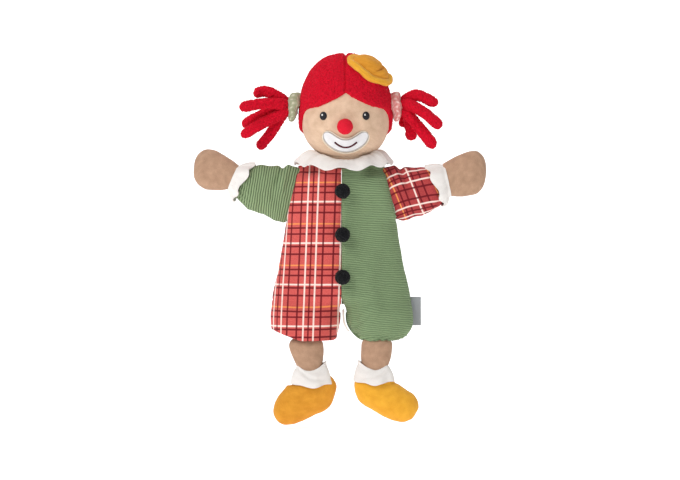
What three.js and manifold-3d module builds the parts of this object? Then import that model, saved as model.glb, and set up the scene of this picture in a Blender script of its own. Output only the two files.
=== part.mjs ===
// Clown hand puppet, upright as a hand holds it up. Millimetres, +Z up, the puppet faces -Y.
// The origin is the centre of the hand opening, at the lower edge of the glove body.
// "right" and "left" are the puppet's own sides: its right side is at -X.

import * as THREE from 'three';
import { LoftGeometry } from 'three/addons/geometries/LoftGeometry.js';
import { mergeVertices } from 'three/addons/utils/BufferGeometryUtils.js';
import Module from 'manifold-3d';

const wasm = await Module();
wasm.setup();

// ---------------------------------------------------------------- driving dimensions

const FABRIC = 2.0; // costume fabric with its seam backing
const LINING = 0.8;
const LINING_EASE = 1.3; // the lining hangs loose inside the costume
const SEAM_GAP = 0.35; // clearance between pieces that are sewn together

const BODY_TOP = 134; // shoulder line
const ARMPIT_Z = 77;
const BODY_BOTTOM = 0; // back hem, level with the hand opening
const TROUSER_BOTTOM = -33.5;
const NECK_X = 3; // the head sits a little to the puppet's left

const HEAD_CENTRE = new THREE.Vector3(NECK_X, 0, 180);
const FACE_RADII = { x: 42.4, y: 38, up: 59, down: 41 };
const HAIR_THICKER = 2.4; // terry cloth stands proud of the face
const SKIN = 2.0;
const HEAD_POWER = 2.3; // 2 is an ellipsoid, more is squarer

const NECK_TUBE = { radius: 11.2, wall: 1.5, bottom: 131, top: 190 };
const FINGER_POCKET = { radius: 12.4, top: 192 };

const POMPOM_RADIUS = 7.5;
const POMPOM_HEIGHTS = { top: 108.5, middle: 67.3, bottom: 27.2 };

const LEG_PIVOT_Z = -39;
const ANKLE_PIVOT_Z = -66;
const LEG_Y = -16;

// ---------------------------------------------------------------- colours

const COLOURS = {
  plaid: 0xd55c58,
  green: 0x7a9d72,
  velour: 0xd0a98a,
  terry: 0xcc0828,
  mustard: 0xe9a42d,
  mustardDark: 0xde942d,
  cotton: 0xf5f0ee,
  black: 0x141418,
  white: 0xf2f0ee,
  burgundy: 0x3c0a14,
  sage: 0xaab496,
  pink: 0xe19691,
  label: 0xafb2b4,
  filling: 0xf4f2ea,
  tape: 0xe8e4da,
};

const group = new THREE.Group();

function add(name, geometry, colour, roughness = 0.9) {
  const material = new THREE.MeshStandardMaterial({ color: COLOURS[colour], roughness, metalness: 0 });
  const mesh = new THREE.Mesh(geometry, material);
  mesh.name = name;
  group.add(mesh);
}

// ---------------------------------------------------------------- shape helpers

const v = (x, y, z) => new THREE.Vector3(x, y, z);
const lerp = THREE.MathUtils.lerp;
const smooth = THREE.MathUtils.smoothstep;

function bare(geometry) {
  const copy = new THREE.BufferGeometry().copy(geometry);
  copy.deleteAttribute('normal');
  copy.deleteAttribute('uv');
  return mergeVertices(copy, 1e-3);
}

function volume(geometry) {
  const g = bare(geometry);
  const p = g.attributes.position;
  const corner = (i) => v(p.getX(i), p.getY(i), p.getZ(i));
  let sum = 0;
  for (let i = 0; i < g.index.count; i += 3) {
    const [a, b, c] = [0, 1, 2].map((k) => corner(g.index.getX(i + k)));
    sum += a.dot(b.cross(c)) / 6;
  }
  return sum;
}

// A loft through the rings, turned so that its faces point out.
function loft(rings, options) {
  const geometry = new LoftGeometry(rings, { closed: true, ...options });
  if (volume(geometry) > 0) return geometry;
  return new LoftGeometry(rings.map((ring) => [...ring].reverse()), { closed: true, ...options });
}

const solidLoft = (rings) => loft(rings, { capStart: true, capEnd: true });

// An ellipse about centre with the half-axis vectors a and b. wave(angle) scales it.
function ring(centre, a, b, sides = 16, wave = () => 1) {
  return Array.from({ length: sides }, (_, i) => {
    const angle = (i / sides) * 2 * Math.PI;
    const scale = wave(angle);
    const offset = a.clone().multiplyScalar(Math.cos(angle) * scale);
    return offset.addScaledVector(b, Math.sin(angle) * scale).add(centre);
  });
}

// A station is the outline's upper and lower point in the XZ plane and the half depth in Y.
function stationRing({ top, bottom, depth }, inset = 0, sides = 16, wave) {
  const up = v(top[0] - bottom[0], 0, top[1] - bottom[1]).multiplyScalar(0.5);
  const centre = v(bottom[0], 0, bottom[1]).add(up);
  up.setLength(up.length() - inset);
  return ring(centre, v(0, depth - inset, 0), up, sides, wave);
}

// A sleeve: open at both ends.
function openTube(stations, wall, sides = 16) {
  const outer = stations.map((s) => stationRing(s, 0, sides));
  const inner = stations.map((s) => stationRing(s, wall, sides)).reverse();
  return loft([...outer, ...inner, outer[0]], {});
}

// A bag: open at the first ring, closed at the last. The hollow is cut out through the opening.
function bag(outer, inner) {
  const [first, second] = inner.map((points) =>
    points.reduce((sum, p) => sum.add(p), v(0, 0, 0)).divideScalar(points.length));
  const out = first.sub(second).setLength(3);
  const mouth = inner[0].map((p) => p.clone().add(out));
  return fromManifold(toManifold(solidLoft(outer)).subtract(toManifold(solidLoft([mouth, ...inner]))));
}

function toManifold(geometry) {
  const g = bare(geometry);
  return new wasm.Manifold(new wasm.Mesh({
    numProp: 3,
    vertProperties: new Float32Array(g.attributes.position.array),
    triVerts: new Uint32Array(g.index.array),
  }));
}

function fromManifold(solid) {
  const mesh = solid.getMesh();
  const geometry = new THREE.BufferGeometry();
  geometry.setAttribute('position', new THREE.BufferAttribute(new Float32Array(mesh.vertProperties), 3));
  geometry.setIndex(new THREE.BufferAttribute(new Uint32Array(mesh.triVerts), 1));
  geometry.computeVertexNormals();
  return geometry;
}

// ---------------------------------------------------------------- glove body

// Half width at the side seam or the armhole, and half depth, at each height.
const BODY_LEVELS = [
  { z: -33.5, side: 67, depth: 29 },
  { z: -24, side: 67.4, depth: 29.5 },
  { z: -10.5, side: 68, depth: 29.5 },
  { z: 0, side: 67.4, depth: 29 },
  { z: 14, side: 65.5, depth: 28 },
  { z: 34, side: 61, depth: 26.5 },
  { z: 59, side: 56.4, depth: 24 },
  { z: ARMPIT_Z, side: 53.8, depth: 22.5 },
  { z: 90, side: 51.8, depth: 21.5 },
  { z: 105, side: 48, depth: 20.5 },
  { z: 118, side: 44.6, depth: 19.5 },
  { z: 127, side: 42.6, depth: 18.8 },
  { z: BODY_TOP, side: 41.5, depth: 18.4 },
];
const ARMHOLE_HALF_DEPTH = 11;
const LINING_ARMHOLE_HALF_DEPTH = 15.5;
const NECKLINE_DIP = 3.6;
const TROUSER = { inner: 3.6, back: -3.5 }; // inner edge of the hem from the middle, and its back face

function level(z) {
  const i = Math.max(1, BODY_LEVELS.findIndex((l) => l.z >= z));
  const [a, b] = [BODY_LEVELS[i - 1], BODY_LEVELS[i]];
  const t = (z - a.z) / (b.z - a.z);
  return { side: lerp(a.side, b.side, t), depth: lerp(a.depth, b.depth, t) };
}

// Points of the body's outline at height z on the puppet's right front, from the side to the middle.
// The armhole cuts the oval where it is as far from the middle plane as open.
function quarterOutline(z, count, open = ARMHOLE_HALF_DEPTH) {
  const { side, depth } = level(z);
  const cutAt = (halfDepth) => Math.asin(halfDepth / depth) * smooth(z, ARMPIT_Z, ARMPIT_Z + 10);
  const start = cutAt(open);
  const width = side / Math.cos(cutAt(ARMHOLE_HALF_DEPTH));
  return Array.from({ length: count }, (_, i) => {
    const angle = lerp(start, Math.PI / 2, i / (count - 1));
    const x = width * Math.cos(angle);
    const shoulder = smooth(z, 120, BODY_TOP) * smooth(x, 16, 28);
    const y = Math.max(depth * Math.sin(angle) * (1 - 0.86 * shoulder), 0);
    return [-x, -y];
  });
}

// The trouser ends stand further apart towards the hem.
const trouserInner = (z) => TROUSER.inner + 5 * smooth(-z, 22, 34);

// Below the hand opening the front goes on as a trouser end, which bends back at its inner edge.
function trouserOutline(z, count) {
  const { side, depth } = level(z);
  const inner = trouserInner(z);
  const middle = (side + inner) / 2;
  const half = (side - inner) / 2;
  return Array.from({ length: count }, (_, i) => {
    const angle = (i / (count - 1)) * Math.PI;
    return [-middle - half * Math.cos(angle), TROUSER.back - (depth + TROUSER.back) * Math.sin(angle)];
  });
}

// The outline moved to the inside by distance, keeping its two ends on their seam lines.
function inset(points, distance) {
  return points.map(([x, y], i) => {
    const before = points[Math.max(i - 1, 0)];
    const after = points[Math.min(i + 1, points.length - 1)];
    const along = [after[0] - before[0], after[1] - before[1]];
    const length = Math.hypot(...along);
    const normal = [-along[1] / length, along[0] / length];
    return [x + normal[0] * distance, y + normal[1] * distance];
  });
}

// The neckline dips between the shoulders.
const neckDip = (x, z) => NECKLINE_DIP * smooth(z, 118, BODY_TOP) * (1 - smooth(Math.abs(x), 14, 26));

// A panel's section: its outline and the same outline moved in, both kept clear of the seams.
function panelRing(outline, z) {
  const clear = ([x, y]) => v(Math.min(x, -SEAM_GAP / 2), Math.min(y, -SEAM_GAP / 2), z - neckDip(x, z));
  return [...outline.map(clear), ...inset(outline, FABRIC).map(clear).reverse()];
}

const POINTS = 9;
const UPPER_HEIGHTS = [8, 20, 34, 59, ARMPIT_Z, 84, 92, 105, 118, 124, 129, BODY_TOP];
const TROUSER_HEIGHTS = [TROUSER_BOTTOM, -26, -16, -6, 2];

function frontPanel() {
  return solidLoft([...TROUSER_HEIGHTS, ...UPPER_HEIGHTS].map((z) => {
    const mix = smooth(-z, -8, 8);
    const trouser = trouserOutline(z, POINTS);
    const outline = quarterOutline(z, POINTS)
      .map(([x, y], i) => [lerp(x, trouser[i][0], mix), lerp(y, trouser[i][1], mix)]);
    return panelRing(outline, z);
  }));
}

function backPanel() {
  return solidLoft([BODY_BOTTOM, ...UPPER_HEIGHTS].map((z) =>
    panelRing(quarterOutline(z, POINTS), z).map((p) => v(p.x, -p.y, p.z))));
}

// Lining of the whole front or back, inside both of its panels, from above the hem to the neck.
// It is cut back from the armholes, so that the stay tape swings clear of it.
function lining() {
  return solidLoft(UPPER_HEIGHTS.filter((z) => z < 120).map((z) => {
    const half = quarterOutline(z, POINTS, LINING_ARMHOLE_HALF_DEPTH);
    const whole = [...half, ...half.slice(0, -1).reverse().map(([x, y]) => [-x, y])];
    const layer = (distance) => inset(whole, distance).map(([x, y]) => v(x, Math.min(y, -SEAM_GAP), z));
    return [...layer(FABRIC + LINING_EASE), ...layer(FABRIC + LINING_EASE + LINING).reverse()];
  }));
}

// Back of a trouser end: closes it behind the leg, from the hand opening's front edge down.
function trouserBack() {
  return solidLoft([TROUSER_BOTTOM, -24, -12, -9].map((z) => {
    const outline = Array.from({ length: 7 }, (_, i) => {
      const t = i / 6;
      const x = -lerp(level(z).side - 1, trouserInner(z) + 1, t);
      return [x, TROUSER.back + 2 * SEAM_GAP + 2.5 * Math.sin(Math.PI * t)];
    });
    const outer = outline.map(([x, y]) => v(x, y, z));
    const back = outline.map(([x, y]) => v(x, y + FABRIC * 0.8, z));
    return [...outer, ...back.reverse()];
  }));
}

const flipX = (geometry) => flip(geometry, v(-1, 1, 1));
const flipY = (geometry) => flip(geometry, v(1, -1, 1));

// A mirrored copy, with its triangles turned round so that they still face out.
function flip(geometry, scale) {
  const copy = bare(geometry).scale(scale.x, scale.y, scale.z);
  const index = copy.index;
  for (let i = 0; i < index.count; i += 3) {
    const second = index.getX(i + 1);
    index.setX(i + 1, index.getX(i + 2));
    index.setX(i + 2, second);
  }
  copy.computeVertexNormals();
  return copy;
}

add('right_front_panel', frontPanel(), 'plaid');
add('left_front_panel', flipX(frontPanel()), 'green');
add('right_back_panel', backPanel(), 'plaid');
add('left_back_panel', flipX(backPanel()), 'green');
add('right_trouser_back', trouserBack(), 'plaid');
add('left_trouser_back', flipX(trouserBack()), 'green');
add('front_lining', lining(), 'cotton');
add('back_lining', flipY(lining()), 'cotton');

// ---------------------------------------------------------------- collar, buttons and label

// The collar hangs low in front and behind and rises over the shoulder seams.
const COLLAR = { inner: [22.5, 19.6], outer: [49, 31], innerZ: 131.4, outerZ: 129.6, thick: 1.3, scallops: 11 };

function collarFrill() {
  const sides = COLLAR.scallops * 4;
  const edge = ([x, y], z, scallop, shoulder) => Array.from({ length: sides }, (_, i) => {
    const angle = (i / sides) * 2 * Math.PI;
    const out = 1 + scallop * Math.cos(COLLAR.scallops * angle);
    const rise = shoulder * Math.cos(angle) ** 2 + 20 * scallop * Math.sin(COLLAR.scallops * angle);
    return v(NECK_X + x * out * Math.cos(angle), y * out * Math.sin(angle), z + rise);
  });
  const at = (lift) => [
    edge(COLLAR.inner, COLLAR.innerZ + lift, 0, 3.4),
    edge(COLLAR.outer, COLLAR.outerZ + lift, 0.04, 6.6),
  ];
  const [innerTop, outerTop] = at(COLLAR.thick);
  const [innerBottom, outerBottom] = at(0);
  return loft([innerTop, outerTop, outerBottom, innerBottom, innerTop], {});
}

function pompom(z) {
  const front = -level(z).depth - SEAM_GAP - POMPOM_RADIUS;
  const geometry = new THREE.SphereGeometry(POMPOM_RADIUS, 14, 9);
  return geometry.translate(1, front, z);
}

function sideLabel() {
  const size = { wide: 8, tall: 27.5, thick: 0.9 };
  const geometry = new THREE.BoxGeometry(size.wide, size.thick, size.tall);
  return geometry.translate(68.4 + size.wide / 2, 0, -6);
}

add('collar_frill', collarFrill(), 'cotton');
for (const [place, z] of Object.entries(POMPOM_HEIGHTS)) add(`pompom_${place}`, pompom(z), 'black');
add('side_label', sideLabel(), 'label');

// ---------------------------------------------------------------- arms

const RIGHT_SLEEVE = [
  { top: [-44.5, 133.5], bottom: [-56, 79], depth: 11.6 },
  { top: [-58, 133.6], bottom: [-65, 81.5], depth: 13.5 },
  { top: [-72, 133.6], bottom: [-79, 87], depth: 13.8 },
  { top: [-84, 133], bottom: [-91, 93.5], depth: 13.2 },
  { top: [-92, 131.5], bottom: [-101, 104.5], depth: 11.6 },
];
const RIGHT_CUFF = [
  { top: [-84.5, 136.6], bottom: [-101.5, 98.5], depth: 16.4 },
  { top: [-91, 136], bottom: [-104.5, 100.8], depth: 15 },
  { top: [-97.4, 135], bottom: [-108.2, 107], depth: 12.4 },
];
const RIGHT_MITT = [
  { top: [-98.6, 134.6], bottom: [-109.2, 110.8], depth: 9.6 },
  { top: [-104.5, 139], bottom: [-114.5, 110], depth: 10.6 },
  { top: [-113, 144.8], bottom: [-122, 109.6], depth: 11.2 },
  { top: [-122, 149.6], bottom: [-131, 110.6], depth: 11 },
  { top: [-130.5, 150], bottom: [-137.6, 115], depth: 9.6 },
  { top: [-137.6, 145.2], bottom: [-141.6, 121.4], depth: 6.6 },
  { top: [-141.2, 138.6], bottom: [-142.6, 128], depth: 2.6 },
];
const LEFT_SLEEVE = [
  { top: [44.5, 133.5], bottom: [56, 80], depth: 11.6 },
  { top: [58, 132.4], bottom: [66, 82.5], depth: 13.5 },
  { top: [71, 131.8], bottom: [79, 87.5], depth: 13.8 },
  { top: [82, 131.6], bottom: [91, 93.5], depth: 13.2 },
  { top: [90.5, 131], bottom: [98.6, 101.5], depth: 11.6 },
];
const LEFT_CUFF = [
  { top: [82.5, 135.4], bottom: [97.4, 97], depth: 16.4 },
  { top: [89, 136], bottom: [99.6, 96.4], depth: 15 },
  { top: [96.2, 136.2], bottom: [103.2, 99], depth: 12.4 },
];
const LEFT_MITT = [
  { top: [97.6, 135.8], bottom: [105, 104], depth: 9.6 },
  { top: [104.5, 140], bottom: [111, 103.8], depth: 10.6 },
  { top: [113, 144.6], bottom: [118.5, 103.8], depth: 11.2 },
  { top: [122, 148.2], bottom: [126.5, 105], depth: 11 },
  { top: [130.8, 148.4], bottom: [132.8, 108], depth: 9.6 },
  { top: [137, 142.4], bottom: [137.4, 115.6], depth: 6.6 },
  { top: [139.4, 134.5], bottom: [139.4, 123.5], depth: 2.6 },
];

function mitt(stations) {
  const outer = stations.map((s) => stationRing(s));
  const inner = stations.slice(0, -1).map((s, i) => stationRing(s, i === stations.length - 2 ? 2.6 : 1.8));
  return bag(outer, inner);
}

function cuff(stations) {
  const scallop = (angle) => 1 + 0.05 * Math.cos(9 * angle);
  const outer = stations.map((s, i) => stationRing(s, 0, 27, i === 0 ? scallop : undefined));
  const inner = stations.map((s, i) => stationRing(s, 1.2, 27, i === 0 ? scallop : undefined)).reverse();
  return loft([...outer, ...inner, outer[0]], {});
}

// Stay tape: a flat ring that keeps the armhole seam from stretching.
function armholeTape() {
  const around = { top: [-43.2, 129], bottom: [-53, 82.6], depth: 9.2 };
  const shift = (points, x) => points.map((p) => v(p.x + x, p.y, p.z));
  const rings = [
    shift(stationRing(around), 0),
    shift(stationRing(around), 1.2),
    shift(stationRing(around, 1.4), 1.2),
    shift(stationRing(around, 1.4), 0),
  ];
  return loft([...rings, rings[0]], {});
}

add('right_armhole_tape', armholeTape(), 'tape');
add('left_armhole_tape', flipX(armholeTape()), 'tape');
add('right_sleeve', openTube(RIGHT_SLEEVE, 1.8), 'green');
add('left_sleeve', openTube(LEFT_SLEEVE, 1.8), 'plaid');
add('right_cuff_frill', cuff(RIGHT_CUFF), 'cotton');
add('left_cuff_frill', cuff(LEFT_CUFF), 'cotton');
add('right_mitt', mitt(RIGHT_MITT), 'velour');
add('left_mitt', mitt(LEFT_MITT), 'velour');

// ---------------------------------------------------------------- neck and head

function neckTube() {
  const { radius, wall, bottom, top } = NECK_TUBE;
  const profile = [
    [0, top], [radius, top], [radius, bottom], [radius - wall, bottom], [radius - wall, top - wall], [0, top - wall],
  ];
  const points = profile.map(([r, z]) => new THREE.Vector2(r, z)).reverse();
  return new THREE.LatheGeometry(points, 24).rotateX(Math.PI / 2).translate(NECK_X, 0, 0);
}

const isInsideOut = (geometry) => volume(geometry) < 0;

function outward(geometry) {
  return isInsideOut(geometry) ? flip(flip(geometry, v(1, 1, 1)), v(1, 1, 1)) : geometry;
}

// Radius of the head's upper or lower half, as a share of its widest, at dz from its middle.
const headShare = (dz, reach) => (1 - Math.min(Math.abs(dz) / reach, 1) ** HEAD_POWER) ** (1 / HEAD_POWER);

function headSolid(grow, sides = 24) {
  const up = FACE_RADII.up + grow;
  const down = FACE_RADII.down + Math.min(grow, 0);
  const steps = [-0.995, -0.93, -0.8, -0.6, -0.35, 0, 0.3, 0.55, 0.75, 0.88, 0.96, 0.995];
  return solidLoft(steps.map((step) => {
    const reach = step < 0 ? down : up;
    const share = headShare(step * reach, reach);
    const a = v((FACE_RADII.x + grow) * share, 0, 0);
    const b = v(0, (FACE_RADII.y + grow) * share, 0);
    return ring(v(HEAD_CENTRE.x, 0, HEAD_CENTRE.z + step * reach), a, b, sides);
  }));
}

// Prism through the head with the hairline as its upper edge, from the front to just behind the ears.
function faceRegion(margin) {
  const hairline = [
    [-58, 168], [-42, 170], [-37.5, 183], [-31, 189.4], [-22.6, 191.4], [-8.4, 196.7],
    [3.3, 203.4], [15.5, 198], [26.8, 193.4], [38, 191], [44, 186], [48, 171], [64, 168],
  ];
  const shape = new THREE.Shape();
  shape.moveTo(-58 - margin, 120);
  hairline.forEach(([x, z]) => shape.lineTo(x, z + margin));
  shape.lineTo(64 + margin, 120);
  const back = 5 + margin;
  const front = -70;
  const geometry = new THREE.ExtrudeGeometry(shape, { depth: back - front, bevelEnabled: false, steps: 1 });
  return geometry.rotateX(Math.PI / 2).translate(0, back, 0);
}

function fingerPocket(radius, top) {
  const geometry = new THREE.CylinderGeometry(radius, radius, top - 120, 24);
  return geometry.rotateX(Math.PI / 2).translate(NECK_X, 0, (top + 120) / 2);
}

function halfSpace(side) {
  const size = 200;
  const geometry = new THREE.BoxGeometry(size, size, size * 2);
  return geometry.translate(NECK_X + side * (size / 2 + SEAM_GAP / 2), 0, 180);
}

const pocket = toManifold(fingerPocket(FINGER_POCKET.radius, FINGER_POCKET.top));
const headInside = toManifold(headSolid(-SKIN));
const faceShell = toManifold(headSolid(0)).subtract(headInside);
const hairShell = toManifold(headSolid(HAIR_THICKER)).subtract(headInside);
const face = faceShell.intersect(toManifold(faceRegion(0))).subtract(pocket);
const hair = hairShell.subtract(toManifold(faceRegion(SEAM_GAP))).subtract(pocket);
const stuffing = toManifold(headSolid(-SKIN - SEAM_GAP)).subtract(pocket);

add('neck_tube', outward(neckTube()), 'velour');
add('head_stuffing', fromManifold(stuffing), 'filling');
add('face_panel', fromManifold(face), 'velour');
add('right_hair_cap', fromManifold(hair.intersect(toManifold(halfSpace(-1)))), 'terry');
add('left_hair_cap', fromManifold(hair.intersect(toManifold(halfSpace(1)))), 'terry');

// Front of the face at (x, z), as a negative y.
function faceFront(x, z) {
  const dz = z - HEAD_CENTRE.z;
  const share = headShare(dz, dz < 0 ? FACE_RADII.down : FACE_RADII.up);
  const across = (x - HEAD_CENTRE.x) / (FACE_RADII.x * share);
  return -FACE_RADII.y * share * Math.sqrt(Math.max(1 - across * across, 0));
}

const EYE = { x: 20.2, z: 179.4, halfWidth: 3.4, halfHeight: 4, thick: 1 };
const NOSE = { z: 168.6, radius: 7.5 };

// An embroidered eye: a thin lens that lies on the face, turned to its slope.
function eye(side) {
  const x = NECK_X + side * EYE.x;
  const slope = (faceFront(x + 1, EYE.z) - faceFront(x - 1, EYE.z)) / 2;
  const lens = new THREE.SphereGeometry(1, 14, 8).scale(EYE.halfWidth, EYE.thick, EYE.halfHeight);
  const off = EYE.thick + 2 * SEAM_GAP;
  return lens.rotateZ(Math.atan(slope)).translate(x, faceFront(x, EYE.z) - off, EYE.z);
}

// A band along a line of points on the face, such as the mouth's crescent or the smile line.
function faceBand(line, lift, thick) {
  const cross = ({ x, z, half, lean }) => {
    const tilt = v(Math.sin(lean) * half, 0, Math.cos(lean) * half);
    const corners = [-1, 0, 1].map((k) => [x + tilt.x * k, z + tilt.z * k]);
    const near = corners.map(([cx, cz]) => v(cx, faceFront(cx, cz) - lift, cz));
    const far = corners.map(([cx, cz]) => v(cx, faceFront(cx, cz) - lift - thick, cz)).reverse();
    return [...near, ...far];
  };
  return solidLoft(line.map(cross));
}

const MOUTH_LIFT = 0.6; // of the felt off the face
const MOUTH = { halfSpan: 22.4, middle: 151.2, rise: 12, half: 6.3 };

function mouthLine(count, span, rise, middle, half) {
  return Array.from({ length: count }, (_, i) => {
    const t = (2 * i) / (count - 1) - 1;
    const taper = Math.sqrt(Math.max(1 - t ** 6, 0.04));
    return { x: NECK_X + t * span, z: middle + rise * t * t, half: half * taper, lean: -0.75 * t };
  });
}

const mouthCurve = mouthLine(13, MOUTH.halfSpan - 2, MOUTH.rise, MOUTH.middle, MOUTH.half);
const smileCurve = mouthLine(9, 10.5, 4.8, 149.8, 0.9);

const nose = new THREE.SphereGeometry(NOSE.radius, 16, 10);
nose.translate(NECK_X + 0.3, faceFront(NECK_X, NOSE.z) - NOSE.radius - SEAM_GAP, NOSE.z);

add('right_eye', eye(-1), 'black');
add('left_eye', eye(1), 'black');
add('nose', nose, 'terry');
add('mouth_patch', faceBand(mouthCurve, MOUTH_LIFT, 1.2), 'white');
add('smile_line', faceBand(smileCurve, MOUTH_LIFT + 1.2 + SEAM_GAP, 0.7), 'burgundy');

// ---------------------------------------------------------------- hat

// The hat lies against the head's upper left front. It is oval: along is its long direction, axis points up
// out of it, and squeeze is how much its half width is less than its half length.
const HAT = {
  centre: v(25.2, -18, 221.3), axis: v(0.5, -0.38, 0.776), along: v(0.863, 0.277, -0.422),
  squeeze: 7.6, brim: 21.2, roll: 3.6, crown: 17.2,
};

function hatFrame(points) {
  const up = HAT.axis.clone().normalize();
  const across = up.clone().cross(HAT.along).normalize();
  const turn = new THREE.Matrix4().makeBasis(across.clone().cross(up), across, up).setPosition(HAT.centre);
  return points.map((p) => p.clone().applyMatrix4(turn));
}

const hatRing = (radius, squeeze, height, sides) =>
  hatFrame(ring(v(0, 0, height), v(radius, 0, 0), v(0, radius - squeeze, 0), sides));

// A rolled brim: a ring of oval section, open in the middle.
function hatBrim() {
  const section = 7;
  const rings = Array.from({ length: section }, (_, i) => {
    const angle = (i / section) * 2 * Math.PI;
    return hatRing(HAT.brim + HAT.roll * Math.cos(angle), HAT.squeeze, 2.5 + 2.9 * Math.sin(angle), 22);
  });
  return loft([...rings, rings[0]], {});
}

// A low padded dome that stands inside the brim.
function hatCrown() {
  const steps = [[0.84, 0.6], [0.98, 2.5], [1, 5.4], [0.94, 9.4], [0.78, 13], [0.5, 15.6], [0.16, 16.6]];
  return solidLoft(steps.map(([share, height]) => hatRing(HAT.crown * share, HAT.squeeze * share, height, 18)));
}

const headSurface = toManifold(headSolid(HAIR_THICKER + SEAM_GAP));
const onHead = (geometry) => fromManifold(toManifold(geometry).subtract(headSurface));

add('hat_brim', onHead(hatBrim()), 'mustard');
add('hat_crown', onHead(hatCrown()), 'mustardDark');

// ---------------------------------------------------------------- pigtails

const PIGTAIL = { z: 190, rightX: -42.8, leftX: 49, scrunchie: 8.6, rootGap: 3.9, rootRadius: 5 };

// A gathered ring of cloth round the root of a pigtail.
function scrunchie(side, x) {
  const profile = [[5, 0], [9.5, 0.6], [14, 3.4], [14, 5.6], [9.5, 8], [5, PIGTAIL.scrunchie]];
  const rings = profile.map(([radius, out]) =>
    ring(v(x + side * out, 0, PIGTAIL.z), v(0, radius * 0.85, 0), v(0, 0, radius), 18,
      (angle) => 1 + 0.04 * Math.cos(9 * angle)));
  return loft([...rings, rings[0]], {});
}

// Each strip: its place round the root (turns, 0 is up and 1/4 is the front), a middle point and the tip.
const RIGHT_STRANDS = [
  [0.0, [-72, -4, 204.6], [-83, -6, 201.4]],
  [0.2, [-76, -13, 192.4], [-96.6, -17, 187.4]],
  [0.8, [-76, 6, 185.4], [-94, 5, 177]],
  [0.4, [-74, -5, 174.4], [-91, -6, 165]],
  [0.6, [-67, 8, 167], [-77.6, 12, 154.4]],
];
const LEFT_STRANDS = [
  [0.0, [77, -4, 200.4], [90.4, -6, 192.4]],
  [0.2, [78, -11, 184.6], [93, -14, 173]],
  [0.4, [74, -4, 171.4], [88, -6, 155.6]],
  [0.6, [67.4, 9, 172], [68, 12, 160.6]],
  [0.8, [63, 16, 183], [59.4, 19, 172.4]],
];
const STRAND_RADII = [2.5, 3.9, 4.2, 4.2, 4.1, 3.6, 2.2];

function strand(side, x, [turns, middle, tip]) {
  const angle = turns * 2 * Math.PI;
  const start = x + side * (PIGTAIL.scrunchie + PIGTAIL.rootGap);
  const root = v(start, -PIGTAIL.rootRadius * Math.sin(angle), PIGTAIL.z + PIGTAIL.rootRadius * Math.cos(angle));
  const path = new THREE.CatmullRomCurve3([root, v(...middle), v(...tip)]);
  return solidLoft(STRAND_RADII.map((radius, i) => {
    const t = i / (STRAND_RADII.length - 1);
    const along = path.getTangentAt(t);
    const a = v(0, 1, 0).cross(along).setLength(radius);
    const b = along.clone().cross(a).setLength(radius);
    return ring(path.getPointAt(t), a, b, 8);
  }));
}

add('right_scrunchie', scrunchie(-1, PIGTAIL.rightX), 'sage');
add('left_scrunchie', scrunchie(1, PIGTAIL.leftX), 'pink');
RIGHT_STRANDS.forEach((s, i) => add(`right_strand_${i + 1}`, strand(-1, PIGTAIL.rightX, s), 'terry'));
LEFT_STRANDS.forEach((s, i) => add(`left_strand_${i + 1}`, strand(1, PIGTAIL.leftX, s), 'terry'));

// ---------------------------------------------------------------- legs and shoes

// Down the leg, each station is its middle in x, its height, its half width and its half depth.
function legStations([hipX, ankleX]) {
  const stations = [];
  const dome = 8.6; // the top is a half round about the hip seam, so the leg swings freely
  for (const degrees of [75, 45, 15]) {
    const angle = THREE.MathUtils.degToRad(degrees);
    stations.push({ x: hipX, z: LEG_PIVOT_Z + dome * Math.sin(angle), wide: 14.6, deep: dome * Math.cos(angle) });
  }
  const below = [[0.2, 15, 9.2], [0.5, 14.2, 10], [0.78, 12.6, 9.6], [1, 11.4, 8.4]];
  const end = ANKLE_PIVOT_Z + 5.5;
  below.forEach(([t, wide, deep]) =>
    stations.push({ x: lerp(hipX, ankleX, t), z: lerp(LEG_PIVOT_Z, end, t), wide, deep }));
  return stations;
}

const legRings = (stations, smaller) =>
  stations.map((s) => ring(v(s.x, LEG_Y, s.z), v(s.wide - smaller, 0, 0), v(0, s.deep - smaller, 0), 16));

function legSkin(places) {
  const stations = legStations(places).reverse();
  return bag(legRings(stations, 0), legRings(stations.slice(0, -1), 1.4));
}

const legStuffing = (places) => solidLoft(legRings(legStations(places).slice(1), 1.4 + SEAM_GAP));

// The frill hangs from the ankle seam over the top of the shoe.
function ankleFrill(stations) {
  const scallop = (angle) => 1 + 0.05 * Math.cos(8 * angle);
  const at = (smaller) => stations.map(([x, z, wide, deep], i) =>
    ring(v(x, LEG_Y, z), v(wide - smaller, 0, 0), v(0, deep - smaller, 0), 24,
      i === stations.length - 1 ? scallop : undefined));
  const outer = at(0);
  return loft([...outer, ...at(1.2).reverse(), outer[0]], {});
}

const FRILLS = {
  right: [[-30.2, -61.4, 13.6, 11], [-29.6, -67, 16.4, 13.4], [-28.4, -75, 19.6, 15.6]],
  left: [[31.9, -60.4, 13.8, 11], [31.6, -65.5, 16.4, 13.4], [31.2, -72.4, 19.6, 15.6]],
};

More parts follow.
